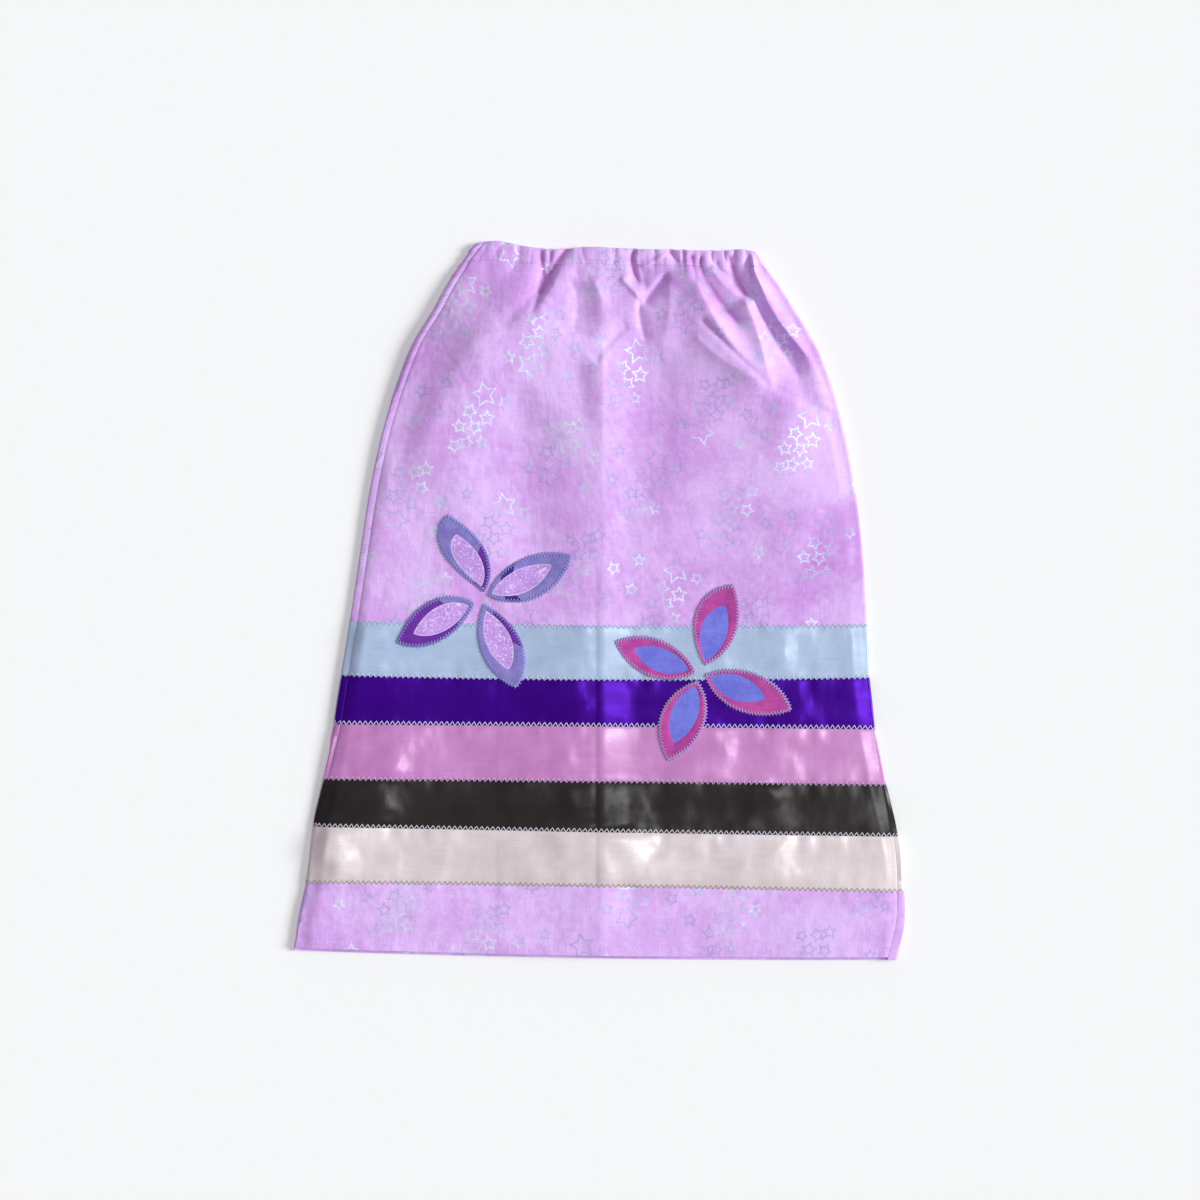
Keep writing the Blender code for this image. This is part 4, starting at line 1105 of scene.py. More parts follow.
class ShaderGroups:
    """The effects that several finishes share, each built once."""

    def __init__(self) -> None:
        """Builds the groups."""
        self.weave = self._weave()
        self.mottle = self._mottle()
        self.star = self._star()
        self.star_print = self._star_print()
        self.swirls = self._swirls()
        self.streaks = self._streaks()
        self.creases = self._creases()

    def _weave(self) -> bpy.types.NodeTree:
        """Plain weave: raised crossings, and threads of uneven thickness.

        Returns:
            The group.
        """
        g, given, out = new_group("Plain Weave", {"Point": "vector", "Threads": 2400.0}, ("Height", "Slub"))
        turn = g.times(given["Threads"], math.pi)
        waves = [g.math("SINE", g.times(at, turn)) for at in g.split(given["Point"])[:2]]
        g.feed(out["Height"], g.scale_add(g.times(*waves), 0.5, 0.5))
        warp = g.noise(g.stretch(given["Point"], 1300, 60), 1.0, 2.0)
        weft = g.noise(g.stretch(given["Point"], 60, 1300), 1.0, 2.0)
        g.feed(out["Slub"], g.times(g.math("ADD", warp, weft), 0.5))
        return g.tree

    def _mottle(self) -> bpy.types.NodeTree:
        """Hand dyeing: soft patches from 0, pale, to 1, full.

        Returns:
            The group.
        """
        g, given, out = new_group("Hand Dye", {"Point": "vector", "Patch": 22.0, "Shift": 0.0}, ("Dye",))
        shift = g.join(given["Shift"], given["Shift"])
        at = g.node("ShaderNodeVectorMath", given["Point"], shift, operation="ADD").outputs[0]
        broad = g.noise(at, given["Patch"], 4.0, 0.62)
        fine = g.noise(at, g.times(given["Patch"], 11.0), 3.0, 0.6)
        middle = g.noise(at, g.times(given["Patch"], 3.6), 3.0, 0.6)
        mixed = g.scale_add(fine, 0.2, g.times(broad, 0.66))
        mixed = g.scale_add(middle, 0.14, mixed)
        g.feed(out["Dye"], g.spread(mixed, 0.36, 0.64))
        return g.tree

    def _star(self) -> bpy.types.NodeTree:
        """The outline of one five-pointed star.

        Returns:
            The group.
        """
        sizes = {"Centre X": 0.0, "Centre Y": 0.0, "Radius": 0.006, "Turn": 0.0, "Line": 0.001}
        g, given, out = new_group("Star Outline", {"Point": "vector", **sizes}, ("Mask",))
        x, y, _ = g.split(given["Point"])
        x, y = g.minus(x, given["Centre X"]), g.minus(y, given["Centre Y"])
        round_way = g.math("ADD", g.math("ARCTAN2", y, x), given["Turn"])
        sector = g.math("PINGPONG", round_way, math.pi / 5)
        far = g.math("SQRT", g.scale_add(x, x, g.times(y, y)))
        along = g.minus(g.times(far, g.math("COSINE", sector)), given["Radius"])
        aside = g.times(far, g.math("SINE", sector))
        off = g.scale_add(along, STAR_EDGE[0], g.times(aside, STAR_EDGE[1]))
        edge = g.minus(g.times(given["Line"], 0.5), g.math("ABSOLUTE", off))
        g.feed(out["Mask"], g.scale_add(edge, 4500.0, 0.5, clamp=True))
        return g.tree

    def _star_print(self) -> bpy.types.NodeTree:
        """Clusters of stars on a slanting lattice, every other column turned round.

        Returns:
            The group.
        """
        g, given, out = new_group("Star Print", {"Point": "vector", "Line": 0.0009}, ("Mask",))
        (wide, fall), (lean, high) = STAR_REPEAT
        area = wide * high - lean * fall
        x, y, _ = g.split(given["Point"])
        across, along = g.minus(x, STAR_START[0]), g.minus(y, STAR_START[1])
        column = g.scale_add(across, high / area, g.scale_add(along, -lean / area, 0.5))
        row = g.scale_add(across, -fall / area, g.scale_add(along, wide / area, 0.5))
        odd = g.math("MODULO", g.math("ABSOLUTE", g.math("FLOOR", column)), 2.0)
        flip = g.scale_add(odd, -2.0, 1.0)
        column = g.minus(g.math("FRACT", column), 0.5)
        row = g.minus(g.math("FRACT", row), 0.5)
        x = g.scale_add(column, wide, g.times(row, lean))
        y = g.scale_add(column, fall, g.times(row, high))
        local = g.join(g.times(x, flip), g.times(y, flip))
        mask = None
        for star in STAR_CHART:
            one = g.group(self.star, Point=local, Centre_X=star.x, Centre_Y=star.y,
                          Radius=star.radius, Turn=star.turn, Line=given["Line"]).outputs["Mask"]
            mask = one if mask is None else g.math("MAXIMUM", mask, one)
        g.feed(out["Mask"], mask)
        return g.tree

    def _swirls(self) -> bpy.types.NodeTree:
        """Fine scribbled lines, from the contours of a noise.

        Returns:
            The group.
        """
        g, given, out = new_group("Swirl Print", {"Point": "vector", "Scale": 230.0}, ("Mask",))
        value = g.noise(given["Point"], given["Scale"], 1.0, 0.4)
        line = g.math("ABSOLUTE", g.minus(g.math("FRACT", g.times(value, 3.2)), 0.5))
        broken = g.spread(g.noise(given["Point"], g.times(given["Scale"], 1.6)), 0.4, 0.56)
        g.feed(out["Mask"], g.times(g.spread(line, 0.16, 0.04), broken))
        return g.tree

    def _streaks(self) -> bpy.types.NodeTree:
        """Satin ribbon: fine lines along it, soft clouds of painted sheen, and crumples.

        Returns:
            The group.
        """
        g, given, out = new_group("Satin Streaks", {"Point": "vector"}, ("Height", "Sheen Cloud", "Crumple"))
        g.feed(out["Height"], g.noise(g.stretch(given["Point"], 40, 3200), 1.0, 2.0))
        g.feed(out["Crumple"], g.noise(g.stretch(given["Point"], 95, 62), 1.0, 2.0, 0.42))
        g.feed(out["Sheen Cloud"], g.noise(g.stretch(given["Point"], 34, 60, (3.1, 1.7)), 1.0, 3.0, 0.55))
        return g.tree

    def _creases(self) -> bpy.types.NodeTree:
        """Small soft creases of worn cotton, with crisp edges here and there.

        Returns:
            The group.
        """
        g, given, out = new_group("Cotton Creases", {"Point": "vector"}, ("Height",))
        soft = g.noise(given["Point"], 95.0, 3.0, 0.5)
        fold = g.noise(g.stretch(given["Point"], 60, 34, (2.3, 5.1)), 1.0, 2.0, 0.5)
        edge = g.math("ABSOLUTE", g.minus(fold, 0.5))
        g.feed(out["Height"], g.scale_add(edge, -1.2, soft))
        return g.tree


# ---- finishes
THREADS = 2300.0  # of the cotton in a metre
WEAVE_DEPTH, WEAVE_STRENGTH = 0.00008, 0.35
CREASE_DEPTH = 0.0005
CRUMPLE_DEPTH = 0.00016


def new_material(name: str) -> Tuple[Material, Graph, Node]:
    """Starts a material.

    Args:
        name: its name.

    Returns:
        The material, its graph and its Principled shader.
    """
    material = bpy.data.materials.new(name)
    material.use_nodes = True
    return material, Graph(material.node_tree), material.node_tree.nodes["Principled BSDF"]


def cloth_point(graph: Graph) -> Socket:
    """The flat cloth coordinates, in metres."""
    return graph.node("ShaderNodeUVMap", uv_map="Cloth").outputs[0]


def tinted(graph: Graph, cloth: Socket, thread: Socket, dark: Colour, light: Colour) -> Socket:
    """A cloth's colour, multiplied by dark to light with the noise of its threads."""
    return graph.mix(1.0, cloth, graph.mix(graph.spread(thread, 0.3, 0.7), dark, light), "MULTIPLY")


@dataclass(frozen=True)
class StarCotton:
    """Plain-weave cotton, hand-dyed look, printed with silver star outlines."""

    pale: Colour = screen(219, 184, 244)  # the cloth where the dye is weakest and strongest
    full: Colour = screen(191, 128, 214)
    deep: Colour = screen(160, 66, 146)  # painted shade: the cloth's colour deep in a pleat
    silver: Colour = screen(206, 222, 236)  # the ink where it glints and where it doesn't
    dull: Colour = screen(148, 158, 204)
    roughness: float = 0.82
    ink_roughness: float = 0.42  # of the ink
    sheen: float = 0.12  # of the cloth's nap
    line: float = 0.0011  # breadth of the printed lines

    def cloth(self, g: Graph, groups: ShaderGroups, point: Socket, slub: Socket) -> Socket:
        """Works out the dyed cloth's colour, with its painted shade and painted light.

        Args:
            g: the material's graph.
            groups: the shared effects.
            point: the cloth coordinates.
            slub: the noise of its threads.

        Returns:
            The colour.
        """
        dye = g.group(groups.mottle, Point=point, Patch=17.0).outputs["Dye"]
        # the charted patches add dye, painted shade and painted light
        amount = g.scale_add(dye, 0.58, g.times(g.stored("dye"), 0.9), clamp=True)
        # painted shade: deep in a pleat the colour turns darker and pinker
        pleat_shade_share = g.times(g.stored("pinch"), 0.6)
        colour = g.mix(pleat_shade_share, g.mix(amount, self.pale, self.full), self.deep)
        return tinted(g, colour, slub, (0.95, 0.94, 0.95), (1.04, 1.04, 1.03))

    def printed(self, g: Graph, groups: ShaderGroups, point: Socket) -> Tuple[Socket, Socket]:
        """Works out the star print.

        Args:
            g: the material's graph.
            groups: the shared effects.
            point: the cloth coordinates.

        Returns:
            How much ink covers the cloth, and the ink's colour.
        """
        stars = g.group(groups.star_print, Point=point, Line=self.line).outputs["Mask"]
        worn = g.spread(g.noise(point, 900.0, 2.0), 0.3, 0.56)
        lit = g.stored("glint")
        bright = g.math("ADD", g.spread(g.noise(point, 23.0, 1.0), 0.4, 0.7), lit, clamp=True)
        least = g.scale_add(lit, 0.12, 0.52)
        cover = g.scale_add(g.times(worn, bright), 0.38, least)
        return g.times(stars, cover), g.mix(bright, self.dull, self.silver)

    def material(self, groups: ShaderGroups) -> Material:
        """Builds the finish.

        Args:
            groups: the shared effects.

        Returns:
            The material.
        """
        material, g, shader = new_material("star cotton")
        point = cloth_point(g)
        weave = g.group(groups.weave, Point=point, Threads=THREADS)
        slub = weave.outputs["Slub"]
        ink, metal = self.printed(g, groups, point)
        g.feed(shader.inputs["Base Color"], g.mix(ink, self.cloth(g, groups, point, slub), metal))
        g.feed(shader.inputs["Metallic"], g.times(ink, 0.36))
        smoother = self.ink_roughness - self.roughness
        g.feed(shader.inputs["Roughness"], g.scale_add(ink, smoother, self.roughness))
        shader.inputs["Sheen Weight"].default_value = self.sheen
        shader.inputs["Sheen Roughness"].default_value = 0.5
        shader.inputs["Specular IOR Level"].default_value = 0.3
        threads = g.scale_add(slub, 1.5, weave.outputs["Height"])
        woven = g.bump(threads, WEAVE_DEPTH, WEAVE_STRENGTH)
        creases = g.group(groups.creases, Point=point).outputs["Height"]
        g.feed(shader.inputs["Normal"], g.bump(creases, CREASE_DEPTH, under=woven))
        return material


@dataclass(frozen=True)
class Satin:
    """Polyester satin ribbon."""

    name: str
    colour: Colour  # its colour, and the same lighter in its clouds of painted sheen
    bright: Colour
    shine: float  # its gloss in its own colour
    gloss: float  # its gloss in white
    roughness: float = 0.29  # how dull the gloss is

    def material(self, groups: ShaderGroups) -> Material:
        """Builds the finish.

        Args:
            groups: the shared effects.

        Returns:
            The material.
        """
        material, g, shader = new_material(f"{self.name} satin")
        streaks = g.group(groups.streaks, Point=cloth_point(g))
        fine = streaks.outputs["Height"]
        sheen_cloud = g.spread(streaks.outputs["Sheen Cloud"], 0.36, 0.7)
        # painted sheen: lighter colour in soft clouds, where the satin also glosses more
        colour_with_sheen = g.mix(g.times(sheen_cloud, 0.55), self.colour, self.bright)
        g.feed(shader.inputs["Base Color"], tinted(g, colour_with_sheen, fine, (0.95, 0.95, 0.95), (1.04, 1.04, 1.04)))
        g.feed(shader.inputs["Roughness"], g.scale_add(sheen_cloud, -0.05, self.roughness))
        shader.inputs["Metallic"].default_value = self.shine
        shader.inputs["Specular IOR Level"].default_value = self.gloss
        shader.inputs["Specular Tint"].default_value = (1.0, 0.95, 1.0, 1.0)
        shader.inputs["Anisotropic"].default_value = 0.3
        height = g.scale_add(fine, 0.035, streaks.outputs["Crumple"])
        g.feed(shader.inputs["Normal"], g.bump(height, CRUMPLE_DEPTH))
        return material


@dataclass(frozen=True)
class PlainCotton:
    """Solid cotton of the applique, a little uneven in its dye."""

    name: str
    pale: Colour  # its colour where the dye is weakest and strongest
    full: Colour
    shift: float = 0.0  # picks the pattern of the dye
    roughness: float = 0.8

    def material(self, groups: ShaderGroups) -> Material:
        """Builds the finish.

        Args:
            groups: the shared effects.

        Returns:
            The material.
        """
        material, g, shader = new_material(f"{self.name} cotton")
        point = cloth_point(g)
        dye = g.group(groups.mottle, Point=point, Patch=70.0, Shift=self.shift).outputs["Dye"]
        weave = g.group(groups.weave, Point=point, Threads=THREADS)
        dyed = g.mix(dye, self.pale, self.full)
        cloth = tinted(g, dyed, weave.outputs["Slub"], (0.9, 0.9, 0.9), (1.06, 1.06, 1.06))
        g.feed(shader.inputs["Base Color"], self.printed(g, groups, cloth, point))
        shader.inputs["Roughness"].default_value = self.roughness
        shader.inputs["Sheen Weight"].default_value = 0.1
        shader.inputs["Specular IOR Level"].default_value = 0.3
        g.feed(shader.inputs["Normal"], g.bump(weave.outputs["Height"], WEAVE_DEPTH, WEAVE_STRENGTH))
        return material

    def printed(self, g: Graph, groups: ShaderGroups, cloth: Socket, point: Socket) -> Socket:
        """The cloth's colour with its print, of which plain cotton has none."""
        return cloth


@dataclass(frozen=True)
class SwirlCotton(PlainCotton):
    """Lilac cotton printed with fine white scribbles, its cut edge pale."""

    ink: Colour = screen(236, 214, 255)  # of the scribbles
    cut_edge: Colour = screen(232, 214, 246)  # colour of the cut edge

    def printed(self, g: Graph, groups: ShaderGroups, cloth: Socket, point: Socket) -> Socket:
        """The cloth's colour with its scribbles and its pale edge."""
        inked = g.mix(g.times(g.group(groups.swirls, Point=point).outputs["Mask"], 0.8), cloth, self.ink)
        return g.mix(g.times(g.stored("rim"), 0.85), inked, self.cut_edge)


@dataclass(frozen=True)
class Thread:
    """Sewing thread, slightly lustrous."""

    name: str
    colour: Colour
    roughness: float = 0.5  # how dull it is

    def material(self) -> Material:
        """Builds the finish.

        Returns:
            The material.
        """
        material, _, shader = new_material(f"{self.name} thread")
        shader.inputs["Base Color"].default_value = (*self.colour, 1.0)
        shader.inputs["Roughness"].default_value = self.roughness
        shader.inputs["Sheen Weight"].default_value = 0.15
        return material


# ---- cotton panels and casings
@dataclass(frozen=True)
class SoftPatch:
    """A soft patch on the cotton, charted."""

    x: float
    y: float
    across: float  # its half widths
    along: float
    amount: float  # how strong it is, below 0 where it takes away

    def share(self, x: Array, y: Array) -> Array:
        """What the patch adds at each point."""
        return self.amount * np.exp(-(((x - self.x) / self.across) ** 2) - ((y - self.y) / self.along) ** 2)


GLINTS = tuple(SoftPatch(*row) for row in (  # where the ink glints
    (-0.078, 0.214, 0.02, 0.022, 1.0),
    (-0.051, 0.18, 0.016, 0.036, 1.0),
    (-0.085, 0.136, 0.022, 0.03, 0.9),
    (-0.12, 0.088, 0.022, 0.026, 0.9),
    (-0.1, 0.18, 0.016, 0.014, 0.7),
    (0.024, 0.18, 0.014, 0.018, 0.9),
    (0.139, 0.126, 0.018, 0.018, 0.9),
    (0.154, 0.033, 0.016, 0.02, 0.7),
    (-0.13, -0.19, 0.024, 0.018, 0.8),
    (0.016, -0.194, 0.018, 0.016, 0.8),
    (0.075, -0.2, 0.016, 0.014, 0.7),
    (0.17, -0.192, 0.03, 0.016, 0.6),
))
DYE_LIGHT_AND_SHADE = tuple(SoftPatch(*row) for row in (  # partly where more or less dye took, partly painted shade on folds facing away from the light and painted light on those facing it
    (-0.125, 0.165, 0.026, 0.028, 0.35),
    (-0.03, 0.17, 0.03, 0.05, -0.35),
    (-0.045, 0.098, 0.04, 0.026, 0.15),
    (0.078, 0.14, 0.05, 0.036, 0.22),
    (0.165, 0.115, 0.022, 0.04, -0.45),
    (0.06, 0.03, 0.036, 0.034, 0.3),
    (0.16, 0.02, 0.04, 0.036, 0.35),
    (0.1, 0.085, 0.04, 0.026, -0.15),
    (-0.14, 0.04, 0.03, 0.06, -0.2),
    (0.125, 0.225, 0.03, 0.03, -0.1),
    (-0.05, 0.215, 0.02, 0.02, 0.25),
    (0.0, -0.232, 0.2, 0.04, -0.24),
))


@dataclass
class CottonPanels:
    """The star-printed front and back, from the casing seam to the hem."""

    form: SkirtForm
    cloth: float = 0.0004  # thickness of the cotton
    under_ribbon: float = 0.001  # how far the cotton lies below the satin
    tucked: float = 0.0005  # how far its top lies below the casing
    hems: Tuple[float, float] = (DROP["hem"], DROP["hem"] + 0.0022)  # of the front and the back
    columns: Tuple[int, int] = (280, 150)  # of the front and the back
    coarse: Tuple[float, float] = (1.0, 2.2)  # how far apart their rows are

    def depth(self, drop: Array) -> Array:
        """How deep the cotton lies: lower where a ribbon or the casing covers it.

        Args:
            drop: distance below the waist edge.

        Returns:
            The depths.
        """
        top = smooth_step((drop - DROP["silver top"] - 0.0002) / 0.001)
        foot = smooth_step((DROP["cream foot"] - 0.0002 - drop) / 0.001)
        seam = 1 - smooth_step((drop - DROP["casing seam"]) / 0.0008)
        return np.maximum(self.under_ribbon * np.minimum(top, foot), self.tucked * seam)

    def rows(self, hem: float, coarse: float) -> Array:
        """Places the rows, closer where the cloth is gathered, at a ribbon's edge and at the hem.

        Args:
            hem: drop of the hem.
            coarse: how much farther apart the rows of plain cloth are.

        Returns:
            Their drops.
        """
        ribbon, foot = DROP["silver top"], DROP["cream foot"]
        top = DROP["casing seam"] - 0.0006
        drops, start = [top], top + 0.0006
        for end, step in (
            (0.088, 0.0015 * coarse), (0.14, 0.0022 * coarse), (ribbon - 0.004, 0.004 * coarse),
            (ribbon + 0.003, 0.001), (foot - 0.003, 0.008), (foot + 0.004, 0.0012),
            (hem - 0.008, 0.004 * coarse), (hem, 0.0006),
        ):
            drops.extend(np.arange(start, end, step))
            start = end
        return np.unique(np.round([*drops, hem - 0.0003, hem - 0.0001, hem], 6))

    def dye(self, piece: Piece) -> None:
        """Stores the charted patches of dye with painted shade and light, and of glints, on a piece, and the
        painted shade deep in its pleats.

        Args:
            piece: of star cotton.
        """
        points = np.empty(len(piece.data.vertices) * 3, np.float32)
        piece.data.vertices.foreach_get("co", points)
        x, y, z = points.reshape(-1, 3).T
        for name, chart in (("dye", DYE_LIGHT_AND_SHADE), ("glint", GLINTS)):
            store_share(piece.data, name, sum((patch.share(x, y) for patch in chart), np.zeros(len(x))))
        drop = self.form.drop_of(x, y)
        front = z > self.form.value("side", drop)
        # painted shade deep in the front's pleats
        store_share(piece.data, "pinch", np.where(front, self.form.pinch(x, drop), 0.0))

    def build(self, material: Material) -> List[Piece]:
        """Makes both panels.

        Args:
            material: the star cotton.

        Returns:
            The front and the back.
        """
        made = []
        for (side, ways), hem, columns, coarse in zip(self.form.halves, self.hems, self.columns, self.coarse):
            rows = self.rows(hem, coarse)
            shell = Shell(self.form, ways, rows, columns, self.cloth, self.depth, Rolled.FOOT)
            piece = shell.build(f"{side}_cotton", material)
            self.dye(piece)
            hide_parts(f"{side}_panel")
            made.append(piece)
        return made


@dataclass
class Casings:
    """The turned-over top of each panel that holds the elastic."""

    form: SkirtForm
    panels: CottonPanels  # lends its charted dye, painted shade and painted light
    thickness: float = 0.0017  # cotton, elastic and cotton
    rolled: Tuple[float, ...] = (0.0, 0.00006, 0.0002, 0.00042, 0.0007)  # drops of its rounded top's rows
    flat_from: float = 0.0011  # drop of the first row below them
    flat_rows: int = 16  # number of rows from there to the seam
    columns: Tuple[int, int] = (300, 220)  # of the front and the back

    def build(self, material: Material) -> List[Piece]:
        """Makes the front and back casing.

        Args:
            material: the star cotton.

        Returns:
            The pieces.
        """
        flat = np.linspace(self.flat_from, DROP["casing seam"] + 0.0002, self.flat_rows)
        drops = np.concatenate([self.rolled, flat])
        made = []
        for (side, ways), columns in zip(self.form.halves, self.columns):
            shell = Shell(self.form, ways, drops, columns, self.thickness, flush(0.0), Rolled.TOP)
            piece = shell.build(f"{side}_casing_cloth", material)
            self.panels.dye(piece)
            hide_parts(f"{side}_casing")
            made.append(piece)
        return made


# ---- petals
LEAF_POINT = 1.7  # how pointed a leaf is
TIP_INSET = 1.6  # how much farther an inset leaf keeps from the tips than from the sides


class Side(Enum):
    """A side of a petal, seen from its base."""

    LEFT = "left"
    RIGHT = "right"


@dataclass(frozen=True)
class Patch:
    """Where a petal's second cloth shows."""

    side: Side  # of the petal
    start: float  # from where to where along it
    end: float
    cloth: str  # name of the second cloth


@dataclass(frozen=True)
class Petal:
    """A leaf of cloth from base to tip, with a window for its insert."""

    name: str  # its place in the flower
    base_x: float  # its ends
    base_y: float
    tip_x: float
    tip_y: float
    left: float  # how far its left side bulges, and where along it
    left_peak: float
    right: float  # the same for the right side
    right_peak: float
    insert_from: float  # the window, as shares of the petal
    insert_to: float
    insert_width: float
    patches: Tuple[Patch, ...] = ()  # where a second cloth shows

    @property
    def length(self) -> float:
        """From base to tip."""
        return math.hypot(self.tip_x - self.base_x, self.tip_y - self.base_y)

    @property
    def width(self) -> float:
        """The most that it measures across."""
        return self.left + self.right

    @staticmethod
    def bulge(t: Array, peak: float) -> Array:
        """Half width of a leaf at shares of its length, 1 where it is widest."""
        start, end = LEAF_POINT * peak, LEAF_POINT * (1 - peak)
        return (t / peak) ** start * ((1 - t) / (1 - peak)) ** end

    def outline(self, low: float, high: float, width: float, inset: float, stations: int) -> Array:
        """Plan points round a leaf, up its left side and down its right.

        Args:
            low: where it starts, as a share of the petal's length.
            high: where it ends.
            width: share of the petal's width.
            inset: distance in from that outline.
            stations: along each side.

        Returns:
            The points, twice the stations.
        """
        base = np.array([self.base_x, self.base_y])
        axis = np.array([self.tip_x, self.tip_y]) - base
        square = np.array([-axis[1], axis[0]]) / self.length
        t = (1 - np.cos(np.linspace(0, math.pi, stations + 1))) / 2
        low, high = low + TIP_INSET * inset / self.length, high - TIP_INSET * inset / self.length
        rib = base + np.outer(low + (high - low) * t, axis)
        shrink = 1 - inset / (width * min(self.left, self.right))
        left = rib + np.outer(width * shrink * self.left * self.bulge(t, self.left_peak), square)
        right = rib - np.outer(width * shrink * self.right * self.bulge(t, self.right_peak), square)
        return np.concatenate([left, right[-2:0:-1]])

    def covers(self, x: Array, y: Array) -> Array:
        """Finds the plan points that lie under the petal.

        Args:
            x, y: the points.

        Returns:
            True for each that does.
        """
        run_x, run_y = self.tip_x - self.base_x, self.tip_y - self.base_y
        off_x, off_y = x - self.base_x, y - self.base_y
        t = np.clip((off_x * run_x + off_y * run_y) / self.length**2, 0.0, 1.0)
        aside = (off_y * run_x - off_x * run_y) / self.length
        left, right = self.left * self.bulge(t, self.left_peak), self.right * self.bulge(t, self.right_peak)
        return np.abs(aside) < np.where(aside > 0, left, right)

    def cloth_at(self, side: Side, t: float) -> int:
        """Number of the cloth at a side and a share of the length: 0 its own, 1 its first patch."""
        held = (n for n, p in enumerate(self.patches, 1) if p.side is side and p.start <= t <= p.end)
        return next(held, 0)


LILAC_PETALS = tuple(Petal(*row) for row in (
    ("upper_left", -0.0839, 0.0058, -0.1091, 0.0611, 0.0149, 0.68, 0.0138, 0.42, 0.07, 0.75, 0.6,
          (Patch(Side.LEFT, 0.02, 0.16, "purple"), Patch(Side.RIGHT, 0.0, 0.52, "purple"))),
    ("upper_right", -0.0803, 0.0032, -0.0203, 0.0322, 0.013, 0.47, 0.0165, 0.5, 0.05, 0.76, 0.58,
          (Patch(Side.LEFT, 0.2, 0.44, "navy"), Patch(Side.RIGHT, 0.14, 0.32, "navy"))),
    ("lower_left", -0.0904, -0.0025, -0.1464, -0.0302, 0.0132, 0.54, 0.0154, 0.45, 0.07, 0.78, 0.62,
          (Patch(Side.LEFT, 0.28, 1.0, "purple"), Patch(Side.RIGHT, 0.34, 1.0, "purple"))),
    ("lower_right", -0.0832, -0.003, -0.0606, -0.063, 0.0156, 0.56, 0.0142, 0.5, 0.08, 0.78, 0.6,
          (Patch(Side.LEFT, 0.1, 0.6, "purple"),)),
))
BERRY_PETALS = tuple(Petal(*row) for row in (
    ("upper", 0.0749, -0.0465, 0.0959, 0.0108, 0.0186, 0.56, 0.0138, 0.47, 0.05, 0.74, 0.6),
    ("left", 0.0687, -0.0519, 0.0107, -0.0299, 0.0144, 0.49, 0.0128, 0.5, 0.08, 0.76, 0.62),
    ("right", 0.0757, -0.0534, 0.1375, -0.0791, 0.0144, 0.53, 0.0148, 0.47, 0.06, 0.7, 0.62),
    ("lower", 0.0699, -0.0585, 0.0489, -0.1156, 0.0154, 0.47, 0.0163, 0.5, 0.06, 0.78, 0.6),
))


# ---- ribbons and stitching
SATINS = (  # from the highest ribbon to the lowest
    Satin("silver", screen(164, 183, 214), screen(178, 196, 226), shine=0.02, gloss=0.24),
    Satin("purple", screen(59, 5, 131), screen(66, 7, 144), shine=0.3, gloss=0.05),
    Satin("pink", screen(190, 125, 188), screen(204, 142, 206), shine=0.02, gloss=0.46),
    Satin("black", screen(37, 33, 33), screen(45, 40, 40), shine=0.0, gloss=0.18),
    Satin("cream", screen(211, 198, 202), screen(222, 212, 218), shine=0.02, gloss=0.38),
)


@dataclass
class Ribbons:
    """Five satin ribbons round the skirt, edge to edge."""

    form: SkirtForm
    satin: float = 0.00026  # thickness of the ribbon
    proud: Tuple[float, float] = (0.00012, 0.0)  # how far the front and the back ones stand out
    margin: float = 0.0001  # from a ribbon's edge to its level
    columns: Tuple[int, int] = (350, 160)  # of a front and a back length
    rows: Tuple[int, int] = (28, 14)  # the same

    def build(self, groups: ShaderGroups) -> List[Piece]:
        """Makes a front and a back length of each ribbon.

        Args:
            groups: the shared effects.

        Returns:
            The pieces.
        """
        made = []
        for satin, top, foot in zip(SATINS, RIBBON_EDGES, RIBBON_EDGES[1:]):
            material = satin.material(groups)
            halves = zip(self.form.halves, self.columns, self.rows, self.proud)
            for (side, ways), columns, rows, proud in halves:
                drops = np.linspace(DROP[top] + self.margin, DROP[foot] - self.margin, rows)
                shell = Shell(self.form, ways, drops, columns, self.satin, flush(-proud))
                piece = shell.build(f"{side}_{satin.name}_satin", material)
                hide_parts(f"{side}_ribbon_{satin.name}")
                made.append(piece)
        return made


@dataclass(frozen=True)
class ZigzagLine:
    """A zigzag along a ribbon's edge."""

    level: str  # the edge
    above: float  # how far it swings from that level
    below: float
    thread: Thread  # what sews it


WHITE_THREAD = Thread("white", screen(226, 224, 238))
BEIGE_THREAD = Thread("beige", screen(176, 162, 166))
ORCHID_THREAD = Thread("orchid", screen(226, 200, 248))
ZIGZAGS = (
    ZigzagLine("silver top", 0.0004, 0.0024, Thread("ice", screen(196, 200, 232))),
    ZigzagLine("purple top", 0.0018, 0.001, Thread("silver", screen(206, 214, 238))),
    ZigzagLine("pink top", 0.0028, 0.0003, WHITE_THREAD),
    ZigzagLine("black top", 0.0016, 0.0014, Thread("rose", screen(216, 176, 226))),
    ZigzagLine("cream top", 0.0026, 0.0003, WHITE_THREAD),
    ZigzagLine("cream foot", 0.0025, 0.0003, BEIGE_THREAD),
)
LEG_POINTS = 4  # of thread along one leg of a zigzag
FRONT_ABOVE = 0.003  # the front's ribbons lie higher than this, the back's lower
STITCH_AT = np.array([0.0, 0.12, 0.5, 0.88, 1.0])  # shares of a straight stitch
STITCH_RISE = np.array([-1.0, 0.6, 1.0, 0.6, -1.0])  # how proud it stands there


